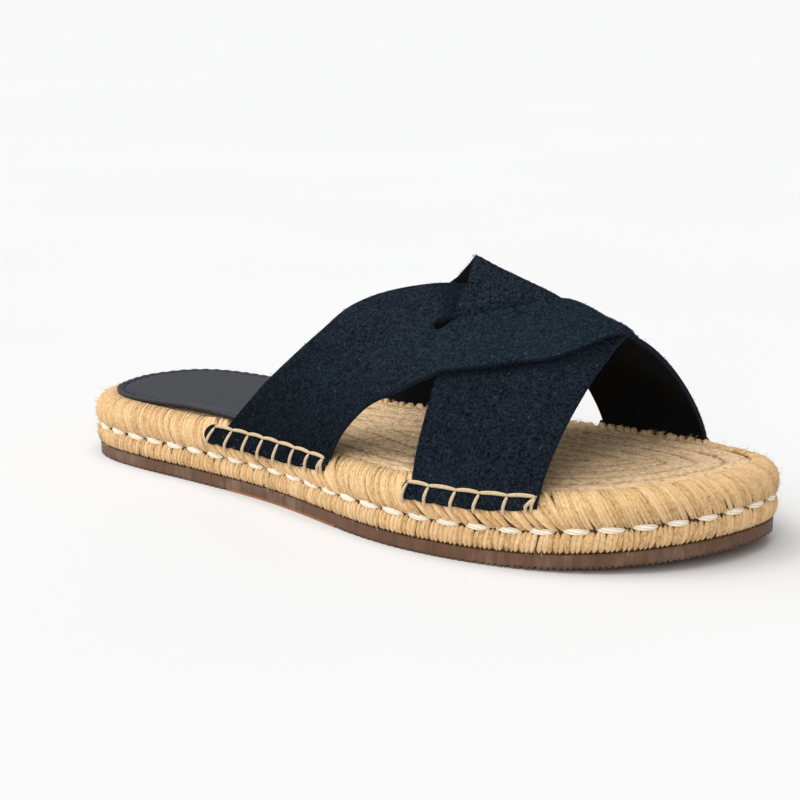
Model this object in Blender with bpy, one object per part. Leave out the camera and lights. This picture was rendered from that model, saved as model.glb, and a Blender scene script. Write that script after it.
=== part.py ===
"""Cross-strap sandal for the right foot, standing on its sole.

Rubber outsole, braided jute midsole, leather heel sock and two crossed suede straps.
The toe points along +Y, the outer side of the foot along +X. Sizes are in metres.
"""
import math

import bmesh
import bpy
import numpy as np

# Sole
SOLE_LENGTH = 0.283
BALL_WIDTH = 0.1125
OUTSOLE_THICKNESS = 0.0048
OUTSOLE_EDGE = 0.0006
MIDSOLE_TOP = 0.0238
PIECE_GAP = 0.0003
TOE_SPRING = 0.0050
TOE_SPRING_START = 0.205
ROWS = 46
COLUMNS = 8

# Sole outline: station as a share of the length from the heel, then the widths
# towards the inner and the outer side of the foot as shares of the ball width.
OUTLINE = (
    (0.007, 0.110, 0.110),
    (0.028, 0.227, 0.227),
    (0.071, 0.311, 0.311),
    (0.141, 0.350, 0.347),
    (0.230, 0.353, 0.350),
    (0.318, 0.341, 0.352),
    (0.389, 0.329, 0.360),
    (0.459, 0.349, 0.385),
    (0.530, 0.406, 0.424),
    (0.601, 0.472, 0.460),
    (0.671, 0.513, 0.472),
    (0.760, 0.528, 0.447),
    (0.848, 0.508, 0.381),
    (0.919, 0.450, 0.265),
    (0.966, 0.374, 0.122),
    (0.993, 0.279, -0.039),
)
TOE_TIP = 0.173

# Midsole side from the outsole up: sideways offset from the outsole outline, height.
MIDSOLE_SIDE = (
    (-0.0010, 0.0051),
    (0.0003, 0.0058),
    (0.0008, 0.0086),
    (0.0003, 0.0113),
    (-0.0006, 0.0125),
    (0.0003, 0.0137),
    (0.0008, 0.0158),
    (0.0007, 0.0178),
    (-0.0002, 0.0200),
    (-0.0018, 0.0220),
    (-0.0040, 0.0233),
    (-0.0066, MIDSOLE_TOP),
)

# Grooves that bound the plain waist of the tread
GROOVE_RADIUS = 0.0710
GROOVE_FRONT = 0.1390
GROOVE_REAR = 0.0818
GROOVE_CENTRE_X = 0.0015
GROOVE_WIDTH = 0.0011
GROOVE_DEPTH = 0.0009
GROOVE_HALF_ANGLE = math.radians(56)

# Heel sock
SOCK_THICKNESS = 0.0016
SOCK_EDGE = 0.0006
SOCK_INSET = 0.0070
SOCK_INNER_INSET = 0.0030
SOCK_FRONT = 0.1080
SOCK_CORNER = 0.012
SOCK_STEPS = 72

# Straps
STRAP_THICKNESS = 0.0018
STRAP_BASE = 0.0232
STRAP_BASE_OFFSET = -0.0012
MARGIN_SPREAD = 0.0026
WIDE_MARGIN = 0.0056
WIDE_TAB = 0.0085
NARROW_MARGIN = 0.0044
NARROW_TAB = 0.0030
FRONT_TAPER = 0.5
CROSSING_BITE = 0.00035
CREST_TURN = 87
CREST_LIFT = 0.0096
CREST_FLANKS = (30, 9)
CREST_SHIFT = 0.014
SHIFT_FLANKS = (30, 26)
INNER_SHIFT = 0.0036
INNER_TURNS = (120, 30)
SAG_TURN = 108
SAG_REACH = (34, 56)
SAG_SHARE = 0.7
SAG_DEPTH = 0.008
SLIT_SHARE = 0.6
ROW_STEPS = 3
WIDTH_STEPS = 10

# Instep that the straps follow: station, ridge place across the foot, ridge height,
# and how tent-like the section is (1 is an ellipse, 2 has straight flanks).
INSTEP = (
    (0.060, 0.001, 0.072, 1.20),
    (0.090, 0.001, 0.075, 1.20),
    (0.125, 0.001, 0.0775, 1.25),
    (0.150, 0.000, 0.0775, 1.35),
    (0.180, -0.001, 0.0790, 1.45),
    (0.197, -0.002, 0.0775, 1.50),
    (0.214, -0.004, 0.0745, 1.50),
    (0.240, -0.006, 0.067, 1.50),
    (0.270, -0.008, 0.054, 1.50),
)

# A strap from its wide base to its narrow one: turn about the foot and station
# of the rear edge, then of the front edge. Turns are in degrees.
STRAP_ROWS = (
    (0, 0.0935, 0, 0.1530),
    (12, 0.1018, 10, 0.1552),
    (24, 0.1107, 20, 0.1585),
    (37, 0.1212, 29, 0.1650),
    (50, 0.1305, 36, 0.1770),
    (63, 0.1370, 43, 0.1875),
    (77, 0.1485, 50, 0.2070),
    (92, 0.1650, 60, 0.2255),
    (107, 0.1770, 79, 0.2350),
    (121, 0.1840, 102, 0.2380),
    (137, 0.1890, 125, 0.2385),
    (152, 0.1920, 148, 0.2385),
    (167, 0.1940, 165, 0.2385),
    (180, 0.1950, 180, 0.2385),
)
SLIT_ROWS = (18, 29)

# Stitched margin below a strap's base: shares of the full drop and of the rear tab.
MARGIN_ROWS = (
    (0.25, 1.00),
    (1.00, 0.80),
)


def hermite(start, end, slope_start, slope_end, share):
    """Cubic blend of two values with given slopes over a share from 0 to 1."""
    rest = 1 - share
    return ((1 + 2 * share) * rest ** 2 * start + share * rest ** 2 * slope_start
            + share ** 2 * (3 - 2 * share) * end - share ** 2 * rest * slope_end)


def smooth_step(value, low, high):
    """0 below low, 1 above high, an even curve between."""
    share = min(1.0, max(0.0, (value - low) / (high - low)))
    return share * share * (3 - 2 * share)


def closed_curve(points, steps):
    """Sample a smooth closed curve through points, a fixed number of steps per span."""
    points = np.asarray(points, dtype=float)
    count = len(points)
    span = np.linalg.norm(np.roll(points, -1, axis=0) - points, axis=1)
    rate = (np.roll(points, -1, axis=0) - points) / span[:, None]
    system = np.zeros((count, count))
    target = np.zeros_like(points)
    for i in range(count):
        before = i - 1
        after = (i + 1) % count
        system[i, before] += span[i]
        system[i, i] += 2 * (span[before] + span[i])
        system[i, after] += span[before]
        target[i] = 3 * (span[i] * rate[before] + span[before] * rate[i])
    slope = np.linalg.solve(system, target)
    samples = []
    for i in range(count):
        after = (i + 1) % count
        for step in range(steps):
            samples.append(hermite(points[i], points[after], slope[i] * span[i],
                                   slope[after] * span[i], step / steps))
    return np.array(samples)


def smooth_rows(table, steps):
    """Sample a table of rows with a smooth open curve, a fixed number of steps per row."""
    table = np.asarray(table, dtype=float)
    slope = np.gradient(table, axis=0)
    samples = []
    for i in range(len(table) - 1):
        for step in range(steps):
            samples.append(hermite(table[i], table[i + 1], slope[i], slope[i + 1], step / steps))
    samples.append(table[-1])
    return np.array(samples)


def sole_sides():
    """Outer and inner side of the outsole as arrays of x and y from heel to toe."""
    outer = [(width * BALL_WIDTH, station * SOLE_LENGTH) for station, _, width in OUTLINE]
    inner = [(-width * BALL_WIDTH, station * SOLE_LENGTH) for station, width, _ in OUTLINE]
    steps = 24
    curve = closed_curve([(0.0, 0.0)] + outer + [(-TOE_TIP * BALL_WIDTH, SOLE_LENGTH)] + inner[::-1], steps)
    toe = (len(OUTLINE) + 1) * steps
    return curve[:toe + 1], np.vstack([curve[toe:], curve[:1]])[::-1]


OUTER_SIDE, INNER_SIDE = sole_sides()


def side_x(side, station):
    """Place across the foot of one side of the sole at a station along it."""
    return float(np.interp(station, side[:, 1], side[:, 0]))


def ground_lift(station):
    """Height of the sole's underside above the ground at a station."""
    toe = max(0.0, (station - TOE_SPRING_START) / (SOLE_LENGTH - TOE_SPRING_START))
    return TOE_SPRING * toe ** 2


def outline_loop():
    """Points of the outline from the heel tip round the outer side, the toe and the inner side."""
    stations = [0.5 * SOLE_LENGTH * (1 - math.cos(math.pi * row / ROWS)) for row in range(ROWS + 1)]
    inner_stations = stations[1:-1][::-1]
    loop = [(0.0, 0.0)]
    loop += [(side_x(OUTER_SIDE, station), station) for station in stations[1:-1]]
    loop.append((-TOE_TIP * BALL_WIDTH, SOLE_LENGTH))
    loop += [(side_x(INNER_SIDE, station), station) for station in inner_stations]
    return np.array(loop)


def moved_outline(loop, offset):
    """The outline loop moved outwards by an offset."""
    along = np.roll(loop, -1, axis=0) - np.roll(loop, 1, axis=0)
    along /= np.linalg.norm(along, axis=1)[:, None]
    return loop + offset * np.column_stack([along[:, 1], -along[:, 0]])


def add_cap(mesh, ring):
    """Close a ring of the sole with rows of faces from side to side."""
    count = len(ring)
    rows = []
    for row in range(1, ROWS):
        outer = ring[row]
        inner = ring[count - row]
        line = [outer]
        for column in range(1, COLUMNS):
            line.append(mesh.verts.new(outer.co.lerp(inner.co, column / COLUMNS)))
        line.append(inner)
        rows.append(line)
    for line in (rows[0], rows[-1]):
        tip = ring[0] if line is rows[0] else ring[ROWS]
        for left, right in zip(line, line[1:]):
            mesh.faces.new((tip, left, right))
    for near, far in zip(rows, rows[1:]):
        for column in range(COLUMNS):
            mesh.faces.new((near[column], far[column], far[column + 1], near[column + 1]))


def sole_mesh(profile):
    """Closed sole body from a profile of sideways offsets and heights, lowest first."""
    mesh = bmesh.new()
    loop = outline_loop()
    rings = []
    for offset, height in profile:
        ring = []
        for (x, y), (_, station) in zip(moved_outline(loop, offset), loop):
            ring.append(mesh.verts.new((x, y, height + ground_lift(station))))
        rings.append(ring)
    for low, high in zip(rings, rings[1:]):
        for i in range(len(low)):
            after = (i + 1) % len(low)
            mesh.faces.new((low[i], low[after], high[after], high[i]))
    add_cap(mesh, rings[0])
    add_cap(mesh, rings[-1])
    return mesh


def groove_mesh(station):
    """Curved bar that cuts one groove across the underside, bowed towards the heel."""
    mesh = bmesh.new()
    steps = 26
    centre_y = station + GROOVE_RADIUS
    sections = []
    for step in range(steps + 1):
        turn = GROOVE_HALF_ANGLE * (2 * step / steps - 1)
        section = []
        for radius, height in ((GROOVE_RADIUS - GROOVE_WIDTH / 2, -0.002),
                               (GROOVE_RADIUS + GROOVE_WIDTH / 2, -0.002),
                               (GROOVE_RADIUS + GROOVE_WIDTH / 2, GROOVE_DEPTH),
                               (GROOVE_RADIUS - GROOVE_WIDTH / 2, GROOVE_DEPTH)):
            section.append(mesh.verts.new((GROOVE_CENTRE_X + radius * math.sin(turn),
                                           centre_y - radius * math.cos(turn), height)))
        sections.append(section)
    for near, far in zip(sections, sections[1:]):
        for i in range(4):
            after = (i + 1) % 4
            mesh.faces.new((near[i], near[after], far[after], far[i]))
    mesh.faces.new(sections[0])
    mesh.faces.new(sections[-1][::-1])
    return mesh


def sock_path():
    """Outline of the heel sock, round at the heel and square with soft corners at its front."""
    loop = moved_outline(outline_loop(), -SOCK_INSET)
    loop[:, 0] += SOCK_INNER_INSET * np.clip(-loop[:, 0] / loop[:, 0].max(), 0, 1)
    limit = SOCK_FRONT - SOCK_CORNER
    outer = [point for point in loop[:ROWS] if point[1] < limit]
    inner = [point for point in loop[ROWS + 1:] if point[1] < limit]
    corner = SOCK_CORNER * (1 - math.sqrt(0.5))
    path = outer + [(outer[-1][0] - corner, SOCK_FRONT - corner), (outer[-1][0] - SOCK_CORNER, SOCK_FRONT)]
    path += [(inner[0][0] + SOCK_CORNER, SOCK_FRONT), (inner[0][0] + corner, SOCK_FRONT - corner)] + inner
    curve = np.array(path + path[:1])
    run = np.concatenate([[0.0], np.cumsum(np.linalg.norm(np.diff(curve, axis=0), axis=1))])
    places = np.linspace(0.0, run[-1], SOCK_STEPS, endpoint=False)
    return np.column_stack([np.interp(places, run, curve[:, axis]) for axis in range(2)])


def sock_mesh():
    """Heel sock: flat leather pad with a softened upper edge."""
    mesh = bmesh.new()
    bottom = MIDSOLE_TOP + PIECE_GAP
    low = [mesh.verts.new((x, y, bottom)) for x, y in sock_path()]
    base = mesh.faces.new(low)
    raised = bmesh.ops.extrude_face_region(mesh, geom=[base])["geom"]
    bmesh.ops.translate(mesh, vec=(0, 0, SOCK_THICKNESS),
                        verts=[item for item in raised if isinstance(item, bmesh.types.BMVert)])
    top = [item for item in raised if isinstance(item, bmesh.types.BMFace)]
    bmesh.ops.bevel(mesh, geom=list(top[0].edges), offset=SOCK_EDGE, segments=2, profile=0.5, affect="EDGES")
    return mesh


def base_x(side, station):
    """Inner face of a strap at its base, just outside the midsole."""
    step = 0.002
    slope = (side_x(side, station + step) - side_x(side, station - step)) / (2 * step)
    outward = 1 if side is OUTER_SIDE else -1
    return side_x(side, station) + outward * STRAP_BASE_OFFSET * math.sqrt(1 + slope ** 2)


def instep_point(turn, station):
    """Point of the instep at a turn from the outer base, in degrees, and a station."""
    table = np.array(INSTEP)
    ridge, height, form = (np.interp(station, table[:, 0], table[:, column]) for column in (1, 2, 3))
    across = math.cos(math.radians(turn))
    rise = max(0.0, math.sin(math.radians(turn)))
    edge = base_x(OUTER_SIDE if across > 0 else INNER_SIDE, station)
    base = STRAP_BASE + ground_lift(station)
    return np.array([ridge + (edge - ridge) * abs(across) ** form, station,
                     base + (height - base) * rise ** form])


def instep_normal(turn, station):
    """Outward direction of the instep at a turn and a station."""
    turn = min(178.0, max(2.0, turn))
    around = instep_point(turn + 1, station) - instep_point(turn - 1, station)
    along = instep_point(turn, station + 0.001) - instep_point(turn, station - 0.001)
    normal = np.cross(along, around)
    return normal / np.linalg.norm(normal)


def edge_station(rows, turn, front, mirrored):
    """Station of a strap's rear or front edge at a turn about the foot."""
    turns, stations = (rows[:, 2], rows[:, 3]) if front else (rows[:, 0], rows[:, 1])
    return float(np.interp(180 - turn if mirrored else turn, turns, stations))


def slit_station(rows, turn):
    """Station of the slit line of the outer rear strap at a turn about the foot."""
    turns = rows[:, 0] + SLIT_SHARE * (rows[:, 2] - rows[:, 0])
    stations = rows[:, 1] + SLIT_SHARE * (rows[:, 3] - rows[:, 1])
    return float(np.interp(turn, turns, stations))


def slit_strap_level(rows, turn, station, share):
    """Height of the slit strap over the instep: its front half lies on the other strap."""
    if share < SLIT_SHARE:
        return 0.0
    past_rear = smooth_step(station - edge_station(rows, turn, False, True), -0.004, 0.003)
    past_front = smooth_step(edge_station(rows, turn, True, True) - station, -0.004, 0.003)
    return (STRAP_THICKNESS - CROSSING_BITE) * past_rear * past_front


def crest(turn, flanks):
    """Share of the passing strap's crest at a turn: straight flanks up to a soft fold."""
    side = flanks[0] if turn < CREST_TURN else flanks[1]
    distance = math.hypot((turn - CREST_TURN) / side, 0.06)
    return max(0.0, 1 - distance)


def sag(rows, turn, station, share):
    """Drop of the passing strap behind the other strap, where nothing carries it."""
    behind = smooth_step(edge_station(rows, turn, False, False) - station, 0.0, 0.022)
    reach = SAG_REACH[0] if turn < SAG_TURN else SAG_REACH[1]
    around = smooth_step(1 - abs(turn - SAG_TURN) / reach, 0, 1)
    return SAG_DEPTH * behind * around * smooth_step(1 - share / SAG_SHARE, 0, 1)


def passing_strap_level(rows, turn, station, share):
    """Height of the passing strap over the instep: it climbs through the slit to a crest."""
    behind_slit = smooth_step(slit_station(rows, turn) - station, -0.002, 0.006)
    off_strap = smooth_step(edge_station(rows, turn, False, False) - station, 0.004, 0.028)
    level = (STRAP_THICKNESS - CROSSING_BITE) * behind_slit * (1 - off_strap)
    fold = CREST_LIFT * crest(turn, CREST_FLANKS) * behind_slit * (1 - share) ** 1.8
    return level + fold - sag(rows, turn, station, share)


def strap_line(rows, row, share, mirrored, level):
    """Point of a strap's inner face at a row along it and a share of its width."""
    rear_turn, rear_station, front_turn, front_station = rows[row]
    turn = rear_turn + share * (front_turn - rear_turn)
    station = rear_station + share * (front_station - rear_station)
    if mirrored:
        turn = 180 - turn
        ahead_by = CREST_SHIFT * crest(turn, SHIFT_FLANKS)
        ahead_by += INNER_SHIFT * smooth_step(1 - abs(turn - INNER_TURNS[0]) / INNER_TURNS[1], 0, 1)
        station += ahead_by * (1 - share) ** 2
    return (instep_point(turn, station)
            + instep_normal(turn, station) * level(rows, turn, station, share))


def margin_point(point, share, drop, tab):
    """Point of the stitched margin below a point of a strap's base, with a tab to the rear."""
    side = OUTER_SIDE if point[0] > 0 else INNER_SIDE
    station = point[1] - tab * (1 - share)
    drop *= 1 - FRONT_TAPER * share ** 4
    spread = math.copysign(MARGIN_SPREAD * drop / WIDE_MARGIN, point[0])
    return np.array([base_x(side, station) + spread, station, point[2] - drop])


def strap_points(mirrored, level):
    """Rows of points over the inner face of a strap, from one margin to the other."""
    rows = smooth_rows(STRAP_ROWS, ROW_STEPS)
    shares = [step / WIDTH_STEPS for step in range(WIDTH_STEPS + 1)]
    lines = [[strap_line(rows, row, share, mirrored, level) for share in shares] for row in range(len(rows))]
    lead = []
    tail = []
    for drop, tab in MARGIN_ROWS:
        lead.insert(0, [margin_point(point, share, WIDE_MARGIN * drop, WIDE_TAB * tab)
                        for point, share in zip(lines[0], shares)])
        tail.append([margin_point(point, share, NARROW_MARGIN * drop, NARROW_TAB * tab)
                     for point, share in zip(lines[-1], shares)])
    return lead + lines + tail


def strap_mesh(mirrored, slit, level):
    """Inner face of one strap as a sheet, cut along a slit if it has one."""
    mesh = bmesh.new()
    grid = [[mesh.verts.new(point) for point in line] for line in strap_points(mirrored, level)]
    split = round(SLIT_SHARE * WIDTH_STEPS)
    rear_lip = {}
    if slit:
        rows = smooth_rows(STRAP_ROWS, ROW_STEPS)
        for row in range(SLIT_ROWS[0] + 1, SLIT_ROWS[1]):
            point = strap_line(rows, row, SLIT_SHARE - 1e-6, mirrored, level)
            rear_lip[row + len(MARGIN_ROWS)] = mesh.verts.new(point)
    for row in range(len(grid) - 1):
        for column in range(WIDTH_STEPS):
            corners = [(row, column), (row + 1, column), (row + 1, column + 1), (row, column + 1)]
            face = []
            for corner_row, corner_column in corners:
                on_lip = column < split and corner_column == split and corner_row in rear_lip
                face.append(rear_lip[corner_row] if on_lip else grid[corner_row][corner_column])
            mesh.faces.new(face)
    if not mirrored:
        bmesh.ops.reverse_faces(mesh, faces=mesh.faces)
    return mesh


def material(name, colour, roughness):
    """Plain material of one finish."""
    made = bpy.data.materials.new(name)
    made.use_nodes = True
    shader = made.node_tree.nodes["Principled BSDF"]
    shader.inputs["Base Color"].default_value = (*colour, 1.0)
    shader.inputs["Roughness"].default_value = roughness
    shader.inputs["Metallic"].default_value = 0.0
    return made


def place(name, mesh, root, finish=None):
    """Put a mesh into the scene as a named object under the root."""
    if finish is not None and "strap" not in name:
        bmesh.ops.recalc_face_normals(mesh, faces=mesh.faces)
    data = bpy.data.meshes.new(name)
    mesh.to_mesh(data)
    mesh.free()
    made = bpy.data.objects.new(name, data)
    bpy.context.scene.collection.objects.link(made)
    made.parent = root
    if finish is not None:
        data.materials.append(finish)
    return made


def hide_tool(tool):
    """Keep an object that only shapes another one out of the part."""
    tool.hide_render = True
    tool.display_type = "WIRE"


def combine(target, tool, operation):
    """Boolean of one object with another."""
    step = target.modifiers.new(operation.lower(), "BOOLEAN")
    step.operation = operation
    step.solver = "EXACT"
    step.object = tool
    hide_tool(tool)


def thicken(strap):
    """Give a strap sheet its thickness, outwards from the foot."""
    wall = strap.modifiers.new("thickness", "SOLIDIFY")
    wall.thickness = STRAP_THICKNESS
    wall.offset = 1.0
    wall.use_even_offset = True


def build_outsole(root):
    """Rubber outsole with two curved grooves that part heel, waist and forefoot."""
    profile = ((-OUTSOLE_EDGE, 0.0), (0.0, OUTSOLE_EDGE), (0.0, OUTSOLE_THICKNESS))
    outsole = place("outsole", sole_mesh(profile), root, material("gum_rubber", (0.20, 0.085, 0.03), 0.55))
    for name, station in (("front_groove", GROOVE_FRONT), ("rear_groove", GROOVE_REAR)):
        groove = groove_mesh(station)
        bmesh.ops.recalc_face_normals(groove, faces=groove.faces)
        combine(outsole, place(name, groove, root), "DIFFERENCE")
    return outsole


def build_upper(root):
    """Two crossed straps joined into one upper, one passing through a slit in the other."""
    suede = material("navy_suede", (0.015, 0.022, 0.045), 0.95)
    upper = place("upper", strap_mesh(False, True, slit_strap_level), root, suede)
    passing = place("passing_strap", strap_mesh(True, False, passing_strap_level), root, suede)
    thicken(upper)
    thicken(passing)
    combine(upper, passing, "UNION")
    return upper


def stand_on_origin(root, pieces):
    """Move the root so that the middle of the whole part's underside is the origin."""
    bpy.context.view_layer.update()
    graph = bpy.context.evaluated_depsgraph_get()
    corners = []
    for piece in pieces:
        corners += [tuple(corner) for corner in piece.evaluated_get(graph).bound_box]
    low = np.min(corners, axis=0)
    high = np.max(corners, axis=0)
    root.location = (-(low[0] + high[0]) / 2, -(low[1] + high[1]) / 2, -low[2])


def build():
    """Make every piece of the sandal under one root."""
    for old in list(bpy.data.objects):
        bpy.data.objects.remove(old, do_unlink=True)
    root = bpy.data.objects.new("sandal", None)
    bpy.context.scene.collection.objects.link(root)
    outsole = build_outsole(root)
    midsole = place("jute_midsole", sole_mesh(MIDSOLE_SIDE), root, material("jute", (0.42, 0.28, 0.13), 0.9))
    sock = place("heel_sock", sock_mesh(), root, material("navy_leather", (0.02, 0.022, 0.03), 0.5))
    upper = build_upper(root)
    stand_on_origin(root, (outsole, midsole, sock, upper))


build()
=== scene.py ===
"""Looks of a cross-strap sandal for the right foot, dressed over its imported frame.

A gum-rubber outsole, a midsole of bound jute, a leather heel sock and two crossed suede
straps with their hand stitches. The toe points along +Y and the outer side along +X.
Shapes are worked out from the heel's tip, in metres, and moved to the frame at the end.
"""
import logging
import math
from dataclasses import dataclass, field
from enum import Enum
from typing import ClassVar

import bmesh
import bpy
import numpy as np
from mathutils import Euler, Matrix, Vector


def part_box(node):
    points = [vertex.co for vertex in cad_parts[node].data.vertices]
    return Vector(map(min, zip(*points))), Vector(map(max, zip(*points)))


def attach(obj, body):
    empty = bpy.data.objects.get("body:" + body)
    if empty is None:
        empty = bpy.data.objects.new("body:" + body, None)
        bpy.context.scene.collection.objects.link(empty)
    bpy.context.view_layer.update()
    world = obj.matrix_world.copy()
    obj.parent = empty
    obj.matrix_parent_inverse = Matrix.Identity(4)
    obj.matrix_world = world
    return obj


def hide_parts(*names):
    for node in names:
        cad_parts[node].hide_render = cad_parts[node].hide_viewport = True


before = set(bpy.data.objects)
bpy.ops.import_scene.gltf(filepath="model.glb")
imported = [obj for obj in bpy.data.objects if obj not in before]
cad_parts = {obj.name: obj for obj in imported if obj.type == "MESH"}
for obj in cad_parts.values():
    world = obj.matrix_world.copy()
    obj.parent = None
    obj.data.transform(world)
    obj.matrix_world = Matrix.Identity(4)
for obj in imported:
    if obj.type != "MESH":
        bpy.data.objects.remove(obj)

BODY = "root"
LOG = logging.getLogger("sandal")

Array = np.ndarray
Socket = bpy.types.NodeSocket
Value = Socket | float
Material = bpy.types.Material

# Sole outline: station as a share of the length from the heel, then the widths
# towards the inner and the outer side of the foot as shares of the ball width.
OUTLINE = (
    (0.007, 0.110, 0.110),
    (0.028, 0.227, 0.227),
    (0.071, 0.311, 0.311),
    (0.141, 0.350, 0.347),
    (0.230, 0.353, 0.350),
    (0.318, 0.341, 0.352),
    (0.389, 0.329, 0.360),
    (0.459, 0.349, 0.385),
    (0.530, 0.406, 0.424),
    (0.601, 0.472, 0.460),
    (0.671, 0.513, 0.472),
    (0.760, 0.528, 0.447),
    (0.848, 0.508, 0.381),
    (0.919, 0.450, 0.265),
    (0.966, 0.374, 0.122),
    (0.993, 0.279, -0.039),
)

# Instep that the straps follow: station, ridge place across the foot, ridge height,
# and how tent-like the section is (1 is an ellipse, 2 has straight flanks).
INSTEP = (
    (0.060, 0.001, 0.072, 1.20),
    (0.090, 0.001, 0.075, 1.20),
    (0.125, 0.001, 0.0775, 1.25),
    (0.150, 0.000, 0.0775, 1.35),
    (0.180, -0.001, 0.0790, 1.45),
    (0.197, -0.002, 0.0775, 1.50),
    (0.214, -0.004, 0.0745, 1.50),
    (0.240, -0.006, 0.067, 1.50),
    (0.270, -0.008, 0.054, 1.50),
)

# A strap from its wide base to its narrow one: turn about the foot and station
# of the rear edge, then of the front edge. Turns are in degrees.
STRAP_ROWS = (
    (0, 0.0935, 0, 0.1530),
    (12, 0.1018, 10, 0.1552),
    (24, 0.1107, 20, 0.1585),
    (37, 0.1212, 29, 0.1650),
    (50, 0.1305, 36, 0.1770),
    (63, 0.1370, 43, 0.1875),
    (77, 0.1485, 50, 0.2070),
    (92, 0.1650, 60, 0.2255),
    (107, 0.1770, 79, 0.2350),
    (121, 0.1840, 102, 0.2380),
    (137, 0.1890, 125, 0.2385),
    (152, 0.1920, 148, 0.2385),
    (167, 0.1940, 165, 0.2385),
    (180, 0.1950, 180, 0.2385),
)


class Side(Enum):
    """Side of the foot, with its sign along X."""

    OUTER = 1
    INNER = -1


class Area(Enum):
    """Area of the outsole's underside."""

    HEEL = "heel"
    WAIST = "waist"
    FOREFOOT = "forefoot"


class StrapRole(Enum):
    """Part that a strap plays where the two cross."""

    SLIT = "slit"
    PASSING = "passing"


class StrapEnd(Enum):
    """End of a strap where it is stitched to the sole, with its number in pairs of values."""

    WIDE = 0
    NARROW = 1


class Effect(Enum):
    """Shared shader effect: name of its node group, its number inputs and its output."""

    GRAIN = ("fibre_grain", ("Scale",), "Tone")
    BLOTCHES = ("blotches", ("Scale", "Low", "High"), "Mask")
    SPECKS = ("specks", ("Scale", "Size", "Share"), "Mask")


def hermite(start: Array, end: Array, slope_start: Array, slope_end: Array, share: Array) -> Array:
    """Cubic blend of two values with given slopes, at shares from 0 to 1 between them.

    Args:
        start: Values at share 0.
        end: Values at share 1.
        slope_start: Slopes at share 0, per unit of share.
        slope_end: Slopes at share 1, per unit of share.
        share: Places between the two.

    Returns:
        The blended values.
    """
    rest = 1 - share
    return ((1 + 2 * share) * rest ** 2 * start + share * rest ** 2 * slope_start
            + share ** 2 * (3 - 2 * share) * end - share ** 2 * rest * slope_end)


def smooth_step(value: Array, low: float, high: float) -> Array:
    """Even curve from 0 at low to 1 at high."""
    share = np.clip((np.asarray(value, dtype=float) - low) / (high - low), 0, 1)
    return share * share * (3 - 2 * share)


def bump(value: Array, centre: float, reach: float) -> Array:
    """Soft bump of height 1 at a centre, fading to 0 over a reach to each side."""
    return smooth_step(1 - np.abs(np.asarray(value, dtype=float) - centre) / reach, 0, 1)


def smooth_lookup(places: Array, known: Array, values: Array) -> Array:
    """Read a smooth curve through known values.

    Args:
        places: Where the curve is read.
        known: Rising places of the known values.
        values: The known values.

    Returns:
        The curve's values, held at the ends.
    """
    places = np.clip(np.asarray(places, dtype=float), known[0], known[-1])
    slope = np.gradient(values, known)
    low = np.clip(np.searchsorted(known, places) - 1, 0, len(known) - 2)
    span = known[low + 1] - known[low]
    share = (places - known[low]) / span
    return hermite(values[low], values[low + 1], slope[low] * span, slope[low + 1] * span, share)


def unit(vectors: Array) -> Array:
    """Vectors along the last axis brought to length 1."""
    return vectors / np.linalg.norm(vectors, axis=-1, keepdims=True)


def run_along(points: Array) -> Array:
    """Length along a line of points, from 0 at the first."""
    return np.concatenate([[0.0], np.cumsum(np.linalg.norm(np.diff(points, axis=0), axis=1))])


def closed_curve(points: list[tuple[float, float]], steps: int) -> Array:
    """Sample a smooth closed curve.

    Args:
        points: Points that the curve runs through.
        steps: Samples for each span between two points.

    Returns:
        An array of x and y, one row for each sample.
    """
    points = np.asarray(points, dtype=float)
    count = len(points)
    span = np.linalg.norm(np.roll(points, -1, axis=0) - points, axis=1)
    rate = (np.roll(points, -1, axis=0) - points) / span[:, None]
    system = np.zeros((count, count))
    target = np.zeros_like(points)
    for i in range(count):
        system[i, i - 1] += span[i]
        system[i, i] += 2 * (span[i - 1] + span[i])
        system[i, (i + 1) % count] += span[i - 1]
        target[i] = 3 * (span[i] * rate[i - 1] + span[i - 1] * rate[i])
    slope = np.linalg.solve(system, target)
    shares = np.arange(steps)[:, None] / steps
    spans = [hermite(points[i], points[(i + 1) % count], slope[i] * span[i],
                     slope[(i + 1) % count] * span[i], shares) for i in range(count)]
    return np.vstack(spans)


def placed(name: str, data: bpy.types.ID) -> bpy.types.Object:
    """Make an object of some data and put it in the scene.

    Args:
        name: Name of the object.
        data: What it shows.

    Returns:
        The new object.
    """
    made = bpy.data.objects.new(name, data)
    bpy.context.scene.collection.objects.link(made)
    return made


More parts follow.
